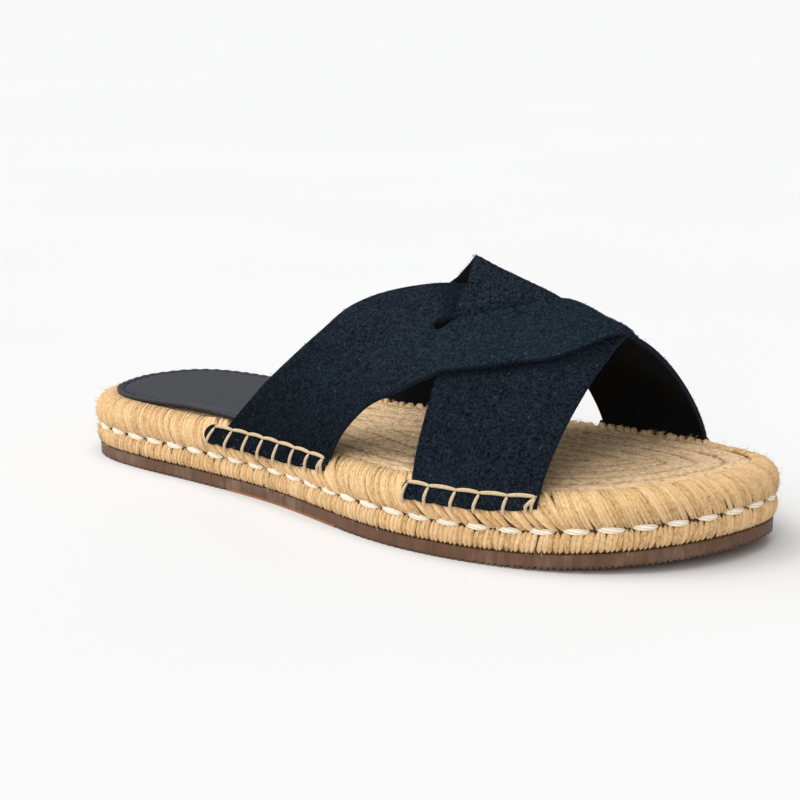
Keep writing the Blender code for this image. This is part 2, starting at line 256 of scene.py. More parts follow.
@dataclass
class SoleOutline:
    """Outline of the sole from above, run from the heel's tip round the outer side."""

    length: float = 0.283
    ball_width: float = 0.1125
    toe_tip: float = 0.173
    toe_spring: float = 0.0050
    toe_spring_start: float = 0.205
    steps: int = 24
    tangent_step: float = 0.0015
    depth_samples: int = 1400
    loop: Array = field(init=False)
    closed: Array = field(init=False)
    run: Array = field(init=False)
    perimeter: float = field(init=False)

    def __post_init__(self) -> None:
        """Work out the loop and the length along it."""
        outer = [(wide * self.ball_width, share * self.length) for share, _, wide in OUTLINE]
        inner = [(-wide * self.ball_width, share * self.length) for share, wide, _ in OUTLINE]
        toe = (-self.toe_tip * self.ball_width, self.length)
        self.loop = closed_curve([(0.0, 0.0)] + outer + [toe] + inner[::-1], self.steps)
        self.closed = np.vstack([self.loop, self.loop[:1]])
        self.run = run_along(self.closed)
        self.perimeter = float(self.run[-1])

    def at(self, place: Array) -> tuple[Array, Array]:
        """Points on the outline.

        Args:
            place: Lengths along the outline from the heel's tip.

        Returns:
            The points as x and y, and the outward directions there.
        """
        place = np.asarray(place, dtype=float)
        shifts = (0.0, -self.tangent_step, self.tangent_step)
        spots = [np.mod(place + shift, self.perimeter) for shift in shifts]
        here, before, after = (
            np.stack([np.interp(spot, self.run, line) for line in self.closed.T], -1) for spot in spots)
        along = unit(after - before)
        return here, np.stack([along[..., 1], -along[..., 0]], -1)

    def beside(self, place: Array, offset: Array, height: Array) -> tuple[Array, Array]:
        """Points beside the outline.

        Args:
            place: Lengths along the outline from the heel's tip.
            offset: Distances outwards from the outline.
            height: Heights over the underside.

        Returns:
            The points as x, y and z, and the outward directions on the plan.
        """
        points, outward = self.at(place)
        moved = points + np.reshape(offset, (-1, 1)) * outward
        return np.column_stack([moved, height + self.lift(points[:, 1])]), outward

    def ring(self, count: int, offset: float, height: float) -> Array:
        """Closed ring of points around the sole, at an offset outwards and a height."""
        return self.beside(np.arange(count) * self.perimeter / count, offset, height)[0]

    def side_x(self, side: Side, station: Array) -> Array:
        """Place across the foot of one side of the sole at stations along it.

        Args:
            side: Side of the foot.
            station: Stations along the foot.

        Returns:
            Places along X.
        """
        toe = (len(OUTLINE) + 1) * self.steps
        half = self.closed[:toe + 1] if side is Side.OUTER else self.closed[toe:][::-1]
        return np.interp(station, half[:, 1], half[:, 0])

    def lift(self, station: Array) -> Array:
        """Height of the underside above the ground at stations: the toe's spring."""
        toe = (np.asarray(station) - self.toe_spring_start) / (self.length - self.toe_spring_start)
        return self.toe_spring * np.clip(toe, 0, None) ** 2

    def depth_inside(self, points: Array) -> Array:
        """Distance of points on the plan from the nearest point of the outline.

        Args:
            points: Points on the plan.

        Returns:
            The distances.
        """
        nearest = np.full(len(points), np.inf)
        spots, _ = self.at(np.linspace(0, self.perimeter, self.depth_samples, endpoint=False))
        for spot in spots:
            nearest = np.minimum(nearest, np.hypot(points[:, 0] - spot[0], points[:, 1] - spot[1]))
        return nearest

    def holds(self, points: Array) -> Array:
        """Tell which points on the plan lie within the outline.

        Args:
            points: Points on the plan.

        Returns:
            Whether each lies inside.
        """
        across = points[:, 0]
        station = points[:, 1]
        return ((across < self.side_x(Side.OUTER, station)) & (across > self.side_x(Side.INNER, station))
                & (station > 0) & (station < self.length))


SOLE = SoleOutline()
OUTSOLE_LOW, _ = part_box("outsole")
HEEL_TIP = Vector((OUTSOLE_LOW.x - float(SOLE.loop[:, 0].min()), OUTSOLE_LOW.y, 0.0))


class MeshBench:
    """Short forms for shaping one mesh with operators."""

    # Any direction that no fibre runs along: the fibres' sides are set square to it.
    SLANT = (0.31, 0.52, 0.79)

    def __init__(self) -> None:
        """Start an empty mesh with a UV map."""
        self.mesh = bmesh.new()
        self.mesh.loops.layers.uv.new("UVMap")

    def layer(self, name: str) -> bmesh.types.BMLayerItem:
        """Give the vertices' layer of a name, made at its first use."""
        layers = self.mesh.verts.layers.float
        return layers.get(name) or layers.new(name)

    @staticmethod
    def put(verts: list, points: Array) -> None:
        """Move vertices to points."""
        for vert, point in zip(verts, points.tolist()):
            vert.co = point

    @staticmethod
    def paint(verts: list, layer: bmesh.types.BMLayerItem, values: Array) -> None:
        """Set each vertex's value in a layer."""
        for vert, value in zip(verts, values.tolist()):
            vert[layer] = value

    def grid(self, rows: int, columns: int) -> tuple[list, Array, Array]:
        """Add a flat grid that is shaped afterwards.

        Args:
            rows: Faces along the first direction.
            columns: Faces along the second direction.

        Returns:
            The new vertices, and their row and column numbers.
        """
        made = bmesh.ops.create_grid(self.mesh, x_segments=rows, y_segments=columns, size=1.0, calc_uvs=True)
        verts = made["verts"]
        row = np.array([round((vert.co.x + 1) / 2 * rows) for vert in verts])
        column = np.array([round((vert.co.y + 1) / 2 * columns) for vert in verts])
        return verts, row, column

    def disc(self, points: Array) -> tuple[bmesh.types.BMFace, list]:
        """Add one face from a circle, and give it and its vertices in the order of the points.

        Args:
            points: Points round the face.

        Returns:
            The face and its vertices.
        """
        made = bmesh.ops.create_circle(self.mesh, cap_ends=True, segments=len(points), radius=1.0)["verts"]
        self.put(made, points)
        return made[0].link_faces[0], made

    def loft(self, rings: list[Array]) -> None:
        """Add a closed body from rings of points, the lowest first.

        Args:
            rings: Rings with the same number of points.
        """
        face, made = self.disc(rings[0])
        for number, ring in enumerate(rings[1:]):
            order = {vert: i for i, vert in enumerate(made)}
            before = [order[vert] for vert in face.verts]
            below = face
            face = self.raise_face(below)
            if number:
                bmesh.ops.delete(self.mesh, geom=[below], context="FACES_ONLY")
            made = [None] * len(ring)
            for i, vert in zip(before, face.verts):
                made[i] = vert
            self.put(made, ring)

    def raise_face(self, face: bmesh.types.BMFace) -> bmesh.types.BMFace:
        """Extrude one face and give the new face, with its corners in the same order."""
        made = bmesh.ops.extrude_face_region(self.mesh, geom=[face])["geom"]
        return next(item for item in made if isinstance(item, bmesh.types.BMFace))

    def thicken(self, rise: float) -> None:
        """Make a slab of all faces, by moving a copy of them up, and turn the faces outwards.

        Args:
            rise: How far the copy is moved.
        """
        made = bmesh.ops.extrude_face_region(self.mesh, geom=list(self.mesh.faces))["geom"]
        verts = [item for item in made if isinstance(item, bmesh.types.BMVert)]
        bmesh.ops.translate(self.mesh, vec=(0, 0, rise), verts=verts)
        bmesh.ops.recalc_face_normals(self.mesh, faces=self.mesh.faces)

    def thread(self, path: Array, outward: Array, half: tuple[float, float], blunt: float,
               sides: int, square: bool = False) -> list:
        """Add a closed strand along a path.

        Args:
            path: Points along the middle of the strand.
            outward: Direction of the strand's height at each point.
            half: Half of its width and half of its height in the middle.
            blunt: Power of the rounding of its ends, blunter towards 0.
            sides: Faces around the strand.
            square: Whether the height is first set square to the path.

        Returns:
            The new vertices.
        """
        along = unit(np.gradient(path, axis=0))
        side = unit(np.cross(along, outward))
        up = np.cross(side, along) if square else outward
        shape = np.sin(np.linspace(0, math.pi, len(path))) ** blunt
        shape[[0, -1]] = 0.0
        verts, row, column = self.grid(len(path) - 1, sides)
        angle = 2 * math.pi * column / sides
        self.put(verts, path[row] + side[row] * (half[0] * shape[row] * np.cos(angle))[:, None]
                 + up[row] * (half[1] * shape[row] * np.sin(angle))[:, None])
        return verts

    def strands(self, paths: Array, thickness: Array, sides: int) -> tuple[list, Array]:
        """Add many thin strands from one grid that is cut apart between them.

        Args:
            paths: Points along each strand, the strands on the first axis.
            thickness: Radius at each point along a strand, 0 at the ends.
            sides: Faces around a strand.

        Returns:
            The new vertices, and the number of the strand that each belongs to.
        """
        along = unit(np.gradient(paths, axis=1))
        side = unit(np.cross(along, self.SLANT))
        up = np.cross(side, along)
        verts, row, column = self.grid(paths.shape[1] - 1, len(paths) * (sides + 1) - 1)
        strand = column // (sides + 1)
        angle = 2 * math.pi * (column % (sides + 1)) / sides
        across = side[strand, row] * np.cos(angle)[:, None] + up[strand, row] * np.sin(angle)[:, None]
        self.put(verts, paths[strand, row] + across * thickness[row][:, None])
        owner = dict(zip(verts, strand.tolist()))
        between = [face for face in self.mesh.faces if len({owner[vert] for vert in face.verts}) > 1]
        bmesh.ops.delete(self.mesh, geom=between, context="FACES_ONLY")
        return verts, strand

    def close(self, distance: float = 1e-6) -> None:
        """Merge what coincides and turn the faces outwards.

        Args:
            distance: Distance at which vertices merge.
        """
        bmesh.ops.remove_doubles(self.mesh, verts=self.mesh.verts, dist=distance)
        bmesh.ops.dissolve_degenerate(self.mesh, edges=self.mesh.edges, dist=distance)
        bmesh.ops.recalc_face_normals(self.mesh, faces=self.mesh.faces)

    def data(self, name: str) -> bpy.types.Mesh:
        """Turn the bench's mesh into mesh data, and end the bench.

        Args:
            name: Name of the data.

        Returns:
            The mesh data.
        """
        made = bpy.data.meshes.new(name)
        self.mesh.to_mesh(made)
        self.mesh.free()
        return made

    def piece(self, name: str, materials: list[Material],
              replaces: tuple[str, ...] = (), sharp: float = 40.0) -> bpy.types.Object:
        """Move the mesh to the frame and make it a piece of the sandal.

        Args:
            name: Name of the piece.
            materials: Materials of the mesh's material numbers.
            replaces: CAD nodes that the piece stands for.
            sharp: Angle in degrees past which an edge shows.

        Returns:
            The new object.
        """
        bmesh.ops.translate(self.mesh, vec=HEEL_TIP, verts=self.mesh.verts)
        data = self.data(name)
        data.shade_smooth()
        data.set_sharp_from_angle(angle=math.radians(sharp))
        for material in materials:
            data.materials.append(material)
        made = placed(name, data)
        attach(made, BODY)
        if replaces:
            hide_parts(*replaces)
        LOG.info("%s: %d faces", name, len(data.polygons))
        return made


class NodeBench:
    """Short forms for building one node tree."""

    def __init__(self, tree: bpy.types.NodeTree, shader: bpy.types.Node | None = None) -> None:
        """Work on a tree, and on its shader where it is a material's."""
        self.tree = tree
        self.shader = shader

    def add(self, kind: str, inputs: dict | None = None, **settings: object) -> bpy.types.Node:
        """Add a node.

        Args:
            kind: Type of the node.
            inputs: Sockets or plain values for its inputs, by name or number.
            **settings: Properties of the node.

        Returns:
            The new node.
        """
        node = self.tree.nodes.new(kind)
        for key, value in settings.items():
            setattr(node, key, value)
        for key, value in (inputs or {}).items():
            if isinstance(value, bpy.types.NodeSocket):
                self.tree.links.new(value, node.inputs[key])
            else:
                node.inputs[key].default_value = value
        return node

    def feed(self, name: str, value: Socket) -> None:
        """Link a result to one of the shader's inputs."""
        self.tree.links.new(value, self.shader.inputs[name])

    def math(self, operation: str, first: Value, second: Value = 0.0) -> Socket:
        """Add a sum on two values and give its result."""
        return self.add("ShaderNodeMath", {0: first, 1: second}, operation=operation).outputs[0]

    def weigh(self, *parts: tuple[Socket, float]) -> Socket:
        """Add up values, each with its weight.

        Args:
            *parts: Values with their weights.

        Returns:
            The total.
        """
        weighed = [self.math("MULTIPLY", value, weight) for value, weight in parts]
        total = weighed[0]
        for value in weighed[1:]:
            total = self.math("ADD", total, value)
        return total

    def mix(self, share: Value, first: Socket, second: Socket | tuple, blend: str = "MIX") -> Socket:
        """Add a mix of two colours and give its result."""
        inputs = {0: share, 6: first, 7: (*second, 1.0) if isinstance(second, tuple) else second}
        return self.add("ShaderNodeMix", inputs, data_type="RGBA", blend_type=blend).outputs[2]

    def stain(self, colour: Socket, mask: Socket, strength: float, tint: tuple) -> Socket:
        """Lay a tint over a colour through a mask."""
        return self.mix(self.math("MULTIPLY", mask, strength), colour, tint)

    def ramp(self, value: Socket, *stops: tuple[float, tuple]) -> Socket:
        """Add a colour ramp over a value, from stops of place and colour.

        Args:
            value: Value that is coloured.
            *stops: Places and colours, rising.

        Returns:
            The colour.
        """
        node = self.add("ShaderNodeValToRGB", {0: value})
        elements = node.color_ramp.elements
        while len(elements) < len(stops):
            elements.new(0.5)
        for element, (place, colour) in zip(elements, stops):
            element.position = place
            element.color = (*colour, 1.0)
        return node.outputs[0]

    def span(self, value: Socket, low: float, high: float) -> Socket:
        """Spread a value from 0 to 1 out between two numbers."""
        return self.add("ShaderNodeMapRange", {0: value, 3: low, 4: high}).outputs[0]

    def stretch(self, value: Socket, low: Value, high: Value) -> Socket:
        """Stretch what lies between two numbers to 0 and 1."""
        return self.add("ShaderNodeMapRange", {0: value, 1: low, 2: high}).outputs[0]

    def place(self, scale: tuple = (1, 1, 1), uv: bool = False) -> Socket:
        """Add coordinates of the object, or of its UV map, scaled."""
        source = self.add("ShaderNodeTexCoord").outputs["UV" if uv else "Object"]
        return self.add("ShaderNodeMapping", {0: source, 3: scale}).outputs[0]

    def attribute(self, name: str) -> Socket:
        """Add the value of a mesh's attribute."""
        return self.add("ShaderNodeAttribute", attribute_name=name).outputs["Fac"]

    def noise(self, vector: Socket, scale: Value, detail: float) -> Socket:
        """Add noise and give its value."""
        inputs = {"Vector": vector, "Scale": scale, "Detail": detail}
        return self.add("ShaderNodeTexNoise", inputs).outputs[0]

    def effect(self, effect: Effect, vector: Socket, **values: float) -> Socket:
        """Place a shared effect and give its output.

        Args:
            effect: The shared effect.
            vector: Coordinates that it reads.
            **values: Its number inputs.

        Returns:
            Its output.
        """
        node = self.add("ShaderNodeGroup", node_tree=EffectGroups.get(effect))
        self.tree.links.new(vector, node.inputs["Vector"])
        for key, value in values.items():
            node.inputs[key].default_value = value
        return node.outputs[0]

    def relief(self, height: Socket, strength: float, distance: float) -> None:
        """Turn a height into the shader's normal."""
        node = self.add("ShaderNodeBump", {"Height": height, "Strength": strength, "Distance": distance})
        self.feed("Normal", node.outputs[0])


class EffectGroups:
    """Shader node groups that several finishes share, each made once."""

    made: ClassVar[dict[Effect, bpy.types.NodeTree]] = {}

    @classmethod
    def get(cls, effect: Effect) -> bpy.types.NodeTree:
        """Give the node group of an effect, made at its first use.

        Args:
            effect: The shared effect.

        Returns:
            Its node group.
        """
        if effect not in cls.made:
            name, inputs, output = effect.value
            tree = bpy.data.node_groups.new(name, "ShaderNodeTree")
            tree.interface.new_socket("Vector", in_out="INPUT", socket_type="NodeSocketVector")
            for socket in inputs:
                tree.interface.new_socket(socket, in_out="INPUT", socket_type="NodeSocketFloat")
            tree.interface.new_socket(output, in_out="OUTPUT", socket_type="NodeSocketFloat")
            bench = NodeBench(tree)
            given = bench.add("NodeGroupInput").outputs
            make = {Effect.GRAIN: cls.grain, Effect.BLOTCHES: cls.blotches, Effect.SPECKS: cls.specks}[effect]
            bench.add("NodeGroupOutput", {output: make(bench, given)})
            cls.made[effect] = tree
        return cls.made[effect]

    @staticmethod
    def grain(bench: NodeBench, given: bpy.types.NodeOutputs) -> Socket:
        """Fibre grain: two sizes of noise in one tone from 0 to 1.

        Args:
            bench: Bench of the group.
            given: The group's inputs.

        Returns:
            The tone.
        """
        coarse = bench.noise(given["Vector"], given["Scale"], 4.0)
        fine = bench.noise(given["Vector"], bench.math("MULTIPLY", given["Scale"], 2.7), 2.0)
        return bench.stretch(bench.weigh((coarse, 0.6), (fine, 0.4)), 0.3, 0.7)

    @staticmethod
    def blotches(bench: NodeBench, given: bpy.types.NodeOutputs) -> Socket:
        """Broad cloudy patches with soft edges."""
        return bench.stretch(bench.noise(given["Vector"], given["Scale"], 3.0), given["Low"], given["High"])

    @staticmethod
    def specks(bench: NodeBench, given: bpy.types.NodeOutputs) -> Socket:
        """Small scattered specks: some of the cells of a pattern hold one.

        Args:
            bench: Bench of the group.
            given: The group's inputs.

        Returns:
            The mask.
        """
        cells = bench.add("ShaderNodeTexVoronoi", {"Vector": given["Vector"], "Scale": given["Scale"]})
        near = bench.math("LESS_THAN", cells.outputs["Distance"], given["Size"])
        pick = bench.add("ShaderNodeSeparateColor", {0: cells.outputs["Color"]})
        held = bench.math("LESS_THAN", pick.outputs[0], given["Share"])
        return bench.math("MULTIPLY", near, held)


class Finish:
    """Base of the finishes: a material with one principled shader."""

    name: str
    # Plain values of the shader's inputs.
    constants: ClassVar[dict[str, object]] = {}

    def material(self) -> Material:
        """Make the material.

        Returns:
            The new material.
        """
        made = bpy.data.materials.new(self.name)
        made.use_nodes = True
        shader = made.node_tree.nodes["Principled BSDF"]
        for key, value in self.constants.items():
            shader.inputs[key].default_value = value
        self.dress(NodeBench(made.node_tree, shader))
        return made

    def dress(self, bench: NodeBench) -> None:
        """Feed the shader, as each finish does in its own way."""
        raise NotImplementedError


@dataclass(frozen=True)
class SuedeFinish(Finish):
    """Napped suede: fine fibres, brushed patches, a few pale specks, and the painted light and shade that the
    straps carry.
    """

    name: str = "suede_nap"
    deep: tuple = (0.0016, 0.0024, 0.0042)
    nap: tuple = (0.0325, 0.0425, 0.0620)
    brushed: tuple = (0.0030, 0.0105, 0.0140)
    speck: tuple = (0.12, 0.13, 0.13)
    grain_scale: float = 1100.0
    clump_share: float = 0.33
    patch_scale: float = 55.0
    speck_scale: float = 420.0
    constants: ClassVar[dict] = {"Roughness": 1.0, "Sheen Weight": 0.02, "Sheen Roughness": 0.5,
                                 "Sheen Tint": (0.42, 0.60, 0.78, 1.0), "Specular IOR Level": 0.0}

    def dress(self, bench: NodeBench) -> None:
        """Feed the shader.

        Args:
            bench: Bench of the material.
        """
        where = bench.place()
        grain = bench.effect(Effect.GRAIN, where, Scale=self.grain_scale)
        clumps = bench.effect(Effect.GRAIN, where, Scale=self.grain_scale * self.clump_share)
        patches = bench.effect(Effect.BLOTCHES, where, Scale=self.patch_scale, Low=0.35, High=0.72)
        specks = bench.effect(Effect.SPECKS, where, Scale=self.speck_scale, Size=0.14, Share=0.13)
        tone = bench.math("MULTIPLY", grain, bench.span(clumps, 0.50, 1.0))
        colour = bench.ramp(tone, (0.17, self.deep), (0.75, self.nap))
        # Painted light and shade from the mesh scales the nap's colour: painted shadows beside the other
        # strap's edges, painted light towards the crest.
        colour = bench.mix(1.0, colour, bench.span(bench.attribute("painted_light_and_shade"), 0.4, 1.4), "MULTIPLY")
        teal = bench.weigh((patches, 0.35), (bench.attribute("cast"), 0.45))
        colour = bench.mix(teal, colour, self.brushed, "SCREEN")
        bench.feed("Base Color", bench.stain(colour, specks, 0.40, self.speck))
        bench.relief(bench.weigh((grain, 0.7), (clumps, 0.4)), 1.0, 0.0011)


@dataclass(frozen=True)
class LiningFinish(Finish):
    """Matt inner side of a strap."""

    name: str = "dark_lining"
    deep: tuple = (0.0050, 0.0058, 0.0075)
    worn: tuple = (0.0180, 0.0190, 0.0225)
    constants: ClassVar[dict] = {"Roughness": 0.9, "Specular IOR Level": 0.05}

    def dress(self, bench: NodeBench) -> None:
        """Feed the shader.

        Args:
            bench: Bench of the material.
        """
        where = bench.place()
        grain = bench.effect(Effect.GRAIN, where, Scale=700.0)
        patches = bench.effect(Effect.BLOTCHES, where, Scale=40.0, Low=0.3, High=0.8)
        tone = bench.math("MULTIPLY", grain, patches)
        bench.feed("Base Color", bench.ramp(tone, (0.0, self.deep), (1.0, self.worn)))
        bench.relief(grain, 0.3, 0.0003)


@dataclass(frozen=True)
class CutEdgeFinish(Finish):
    """Raw cut edge of the suede, fibrous and a little paler in streaks."""

    name: str = "suede_cut_edge"
    deep: tuple = (0.0035, 0.0055, 0.0095)
    pale: tuple = (0.0260, 0.0370, 0.0520)
    constants: ClassVar[dict] = {"Roughness": 1.0, "Specular IOR Level": 0.0}

    def dress(self, bench: NodeBench) -> None:
        """Feed the shader.

        Args:
            bench: Bench of the material.
        """
        grain = bench.effect(Effect.GRAIN, bench.place(), Scale=1300.0)
        bench.feed("Base Color", bench.ramp(grain, (0.1, self.deep), (0.95, self.pale)))
        bench.relief(grain, 0.5, 0.0004)


@dataclass(frozen=True)
class LeatherFinish(Finish):
    """Smooth dyed leather with fine pores and soft rubbed patches."""

    name: str = "sock_leather"
    deep: tuple = (0.0060, 0.0073, 0.0115)
    rubbed: tuple = (0.0170, 0.0196, 0.0265)
    speck: tuple = (0.35, 0.32, 0.26)
    constants: ClassVar[dict] = {"Specular IOR Level": 0.36}

    def dress(self, bench: NodeBench) -> None:
        """Feed the shader.

        Args:
            bench: Bench of the material.
        """
        where = bench.place()
        grain = bench.effect(Effect.GRAIN, where, Scale=1500.0)
        patches = bench.effect(Effect.BLOTCHES, where, Scale=28.0, Low=0.3, High=0.75)
        specks = bench.effect(Effect.SPECKS, where, Scale=110.0, Size=0.05, Share=0.04)
        colour = bench.ramp(patches, (0.0, self.deep), (1.0, self.rubbed))
        bench.feed("Base Color", bench.stain(colour, specks, 0.5, self.speck))
        bench.feed("Roughness", bench.span(bench.math("MULTIPLY", grain, patches), 0.40, 0.58))
        bench.relief(grain, 0.12, 0.0002)


@dataclass(frozen=True)
class JuteFinish(Finish):
    """Bound jute yarn: streaks along each strand, its own tone for every strand."""

    name: str = "jute_yarn"
    shade: tuple = (0.25, 0.126, 0.049)
    body: tuple = (0.79, 0.498, 0.232)
    light: tuple = (0.98, 0.755, 0.455)
    streaks: tuple = (1.6, 5.0, 1.0)
    streak_scale: float = 3.0
    # How far a strand's tone moves its streaks, along and across.
    own_shift: tuple = (37.0, 91.0)
    constants: ClassVar[dict] = {"Roughness": 0.88, "Specular IOR Level": 0.25, "Sheen Weight": 0.12,
                                 "Sheen Tint": (1.0, 0.86, 0.62, 1.0)}

    def dress(self, bench: NodeBench) -> None:
        """Feed the shader.

        Args:
            bench: Bench of the material.
        """
        tone = bench.attribute("tone")
        moved = [bench.math("MULTIPLY", tone, shift) for shift in self.own_shift]
        own = bench.add("ShaderNodeCombineXYZ", {0: moved[0], 1: moved[1], 2: tone}).outputs[0]
        along = bench.place(self.streaks, uv=True)
        shift = bench.add("ShaderNodeVectorMath", {0: along, 1: own}, operation="ADD").outputs[0]
        yarn = bench.effect(Effect.GRAIN, shift, Scale=self.streak_scale)
        fuzz = bench.effect(Effect.GRAIN, bench.place(), Scale=900.0)
        mixed = bench.weigh((yarn, 0.50), (fuzz, 0.42), (bench.math("SUBTRACT", tone, 0.5), 0.34))
        bench.feed("Base Color", bench.ramp(mixed, (0.04, self.shade), (0.45, self.body), (0.95, self.light)))
        bench.relief(mixed, 0.8, 0.0008)


@dataclass(frozen=True)
class FootbedFinish(Finish):
    """Trodden jute top: short grain, grey soiling and dark lines between the rows."""

    name: str = "jute_footbed"
    shade: tuple = (0.300, 0.172, 0.083)
    body: tuple = (0.870, 0.590, 0.335)
    light: tuple = (0.99, 0.83, 0.57)
    soiled: tuple = (0.580, 0.420, 0.270)
    line: tuple = (0.050, 0.032, 0.018)
    constants: ClassVar[dict] = {"Roughness": 0.92, "Specular IOR Level": 0.2}

    def dress(self, bench: NodeBench) -> None:
        """Feed the shader.

        Args:
            bench: Bench of the material.
        """
        where = bench.place()
        grain = bench.effect(Effect.GRAIN, where, Scale=620.0)
        yarn = bench.effect(Effect.GRAIN, bench.place((1.0, 0.35, 1.0)), Scale=330.0)
        soil = bench.effect(Effect.BLOTCHES, where, Scale=16.0, Low=0.40, High=0.74)
        specks = bench.effect(Effect.SPECKS, where, Scale=190.0, Size=0.13, Share=0.07)
        mixed = bench.weigh((grain, 0.6), (yarn, 0.4))
        colour = bench.ramp(mixed, (0.12, self.shade), (0.5, self.body), (0.92, self.light))
        colour = bench.stain(colour, soil, 0.4, self.soiled)
        colour = bench.stain(colour, specks, 0.6, self.shade)
        bench.feed("Base Color", bench.stain(colour, bench.attribute("seam"), 0.95, self.line))
        bench.relief(mixed, 1.0, 0.0012)


@dataclass(frozen=True)
class ThreadFinish(Finish):
    """Waxed sewing thread with its twist."""

    name: str
    shade: tuple
    light: tuple
    twist: tuple = (7.0, 2.0, 1.0)
    constants: ClassVar[dict] = {"Roughness": 0.7, "Specular IOR Level": 0.35}

    def dress(self, bench: NodeBench) -> None:
        """Feed the shader.

        Args:
            bench: Bench of the material.
        """
        inputs = {"Vector": bench.place(self.twist, uv=True), "Scale": 1.0, "Distortion": 0.6, "Detail": 2.0}
        wave = bench.add("ShaderNodeTexWave", inputs, bands_direction="DIAGONAL").outputs["Fac"]
        fuzz = bench.effect(Effect.GRAIN, bench.place(), Scale=1100.0)
        mixed = bench.weigh((wave, 0.55), (fuzz, 0.45))
        bench.feed("Base Color", bench.ramp(mixed, (0.05, self.shade), (0.75, self.light)))
        bench.relief(mixed, 0.6, 0.0003)


@dataclass(frozen=True)
class RubberFinish(Finish):
    """Gum rubber: upright streaks and scuffs, and a rim colour near the outline: a painted glow of light
    through the edge on the tread, painted shade on the side.
    """

    name: str
    deep: tuple
    body: tuple
    # Colour near the rim: painted light on the tread, painted shade on the side.
    rim: tuple
    scuff: tuple = (0.30, 0.25, 0.20)
    scuffed: float = 0.45
    constants: ClassVar[dict] = {"Specular IOR Level": 0.4}

    def dress(self, bench: NodeBench) -> None:
        """Feed the shader.

        Args:
            bench: Bench of the material.
        """
        streaks = bench.effect(Effect.GRAIN, bench.place((1.0, 1.0, 0.10)), Scale=420.0)
        patches = bench.effect(Effect.BLOTCHES, bench.place(), Scale=55.0, Low=0.50, High=0.72)
        colour = bench.ramp(streaks, (0.0, self.deep), (1.0, self.body))
        # Painted rim colour, laid on through the rim mask.
        colour = bench.mix(bench.attribute("rim"), colour, self.rim)
        worn = bench.math("MULTIPLY", patches, streaks)
        bench.feed("Base Color", bench.stain(colour, worn, self.scuffed, self.scuff))
        bench.feed("Roughness", bench.span(streaks, 0.46, 0.66))
        bench.relief(streaks, 0.25, 0.0003)


@dataclass(frozen=True)
class FloorFinish(Finish):
    """Pale studio floor."""

    name: str = "studio_floor"
    pale: tuple = (0.712, 0.712, 0.714)
    clouded: float = 0.985
    constants: ClassVar[dict] = {"Roughness": 0.8, "Specular IOR Level": 0.1}

    def dress(self, bench: NodeBench) -> None:
        """Feed the shader.

        Args:
            bench: Bench of the material.
        """
        cloud = bench.effect(Effect.BLOTCHES, bench.place(), Scale=3.0, Low=0.3, High=0.7)
        dim = tuple(self.clouded * part for part in self.pale)
        bench.feed("Base Color", bench.ramp(cloud, (0.0, dim), (1.0, self.pale)))


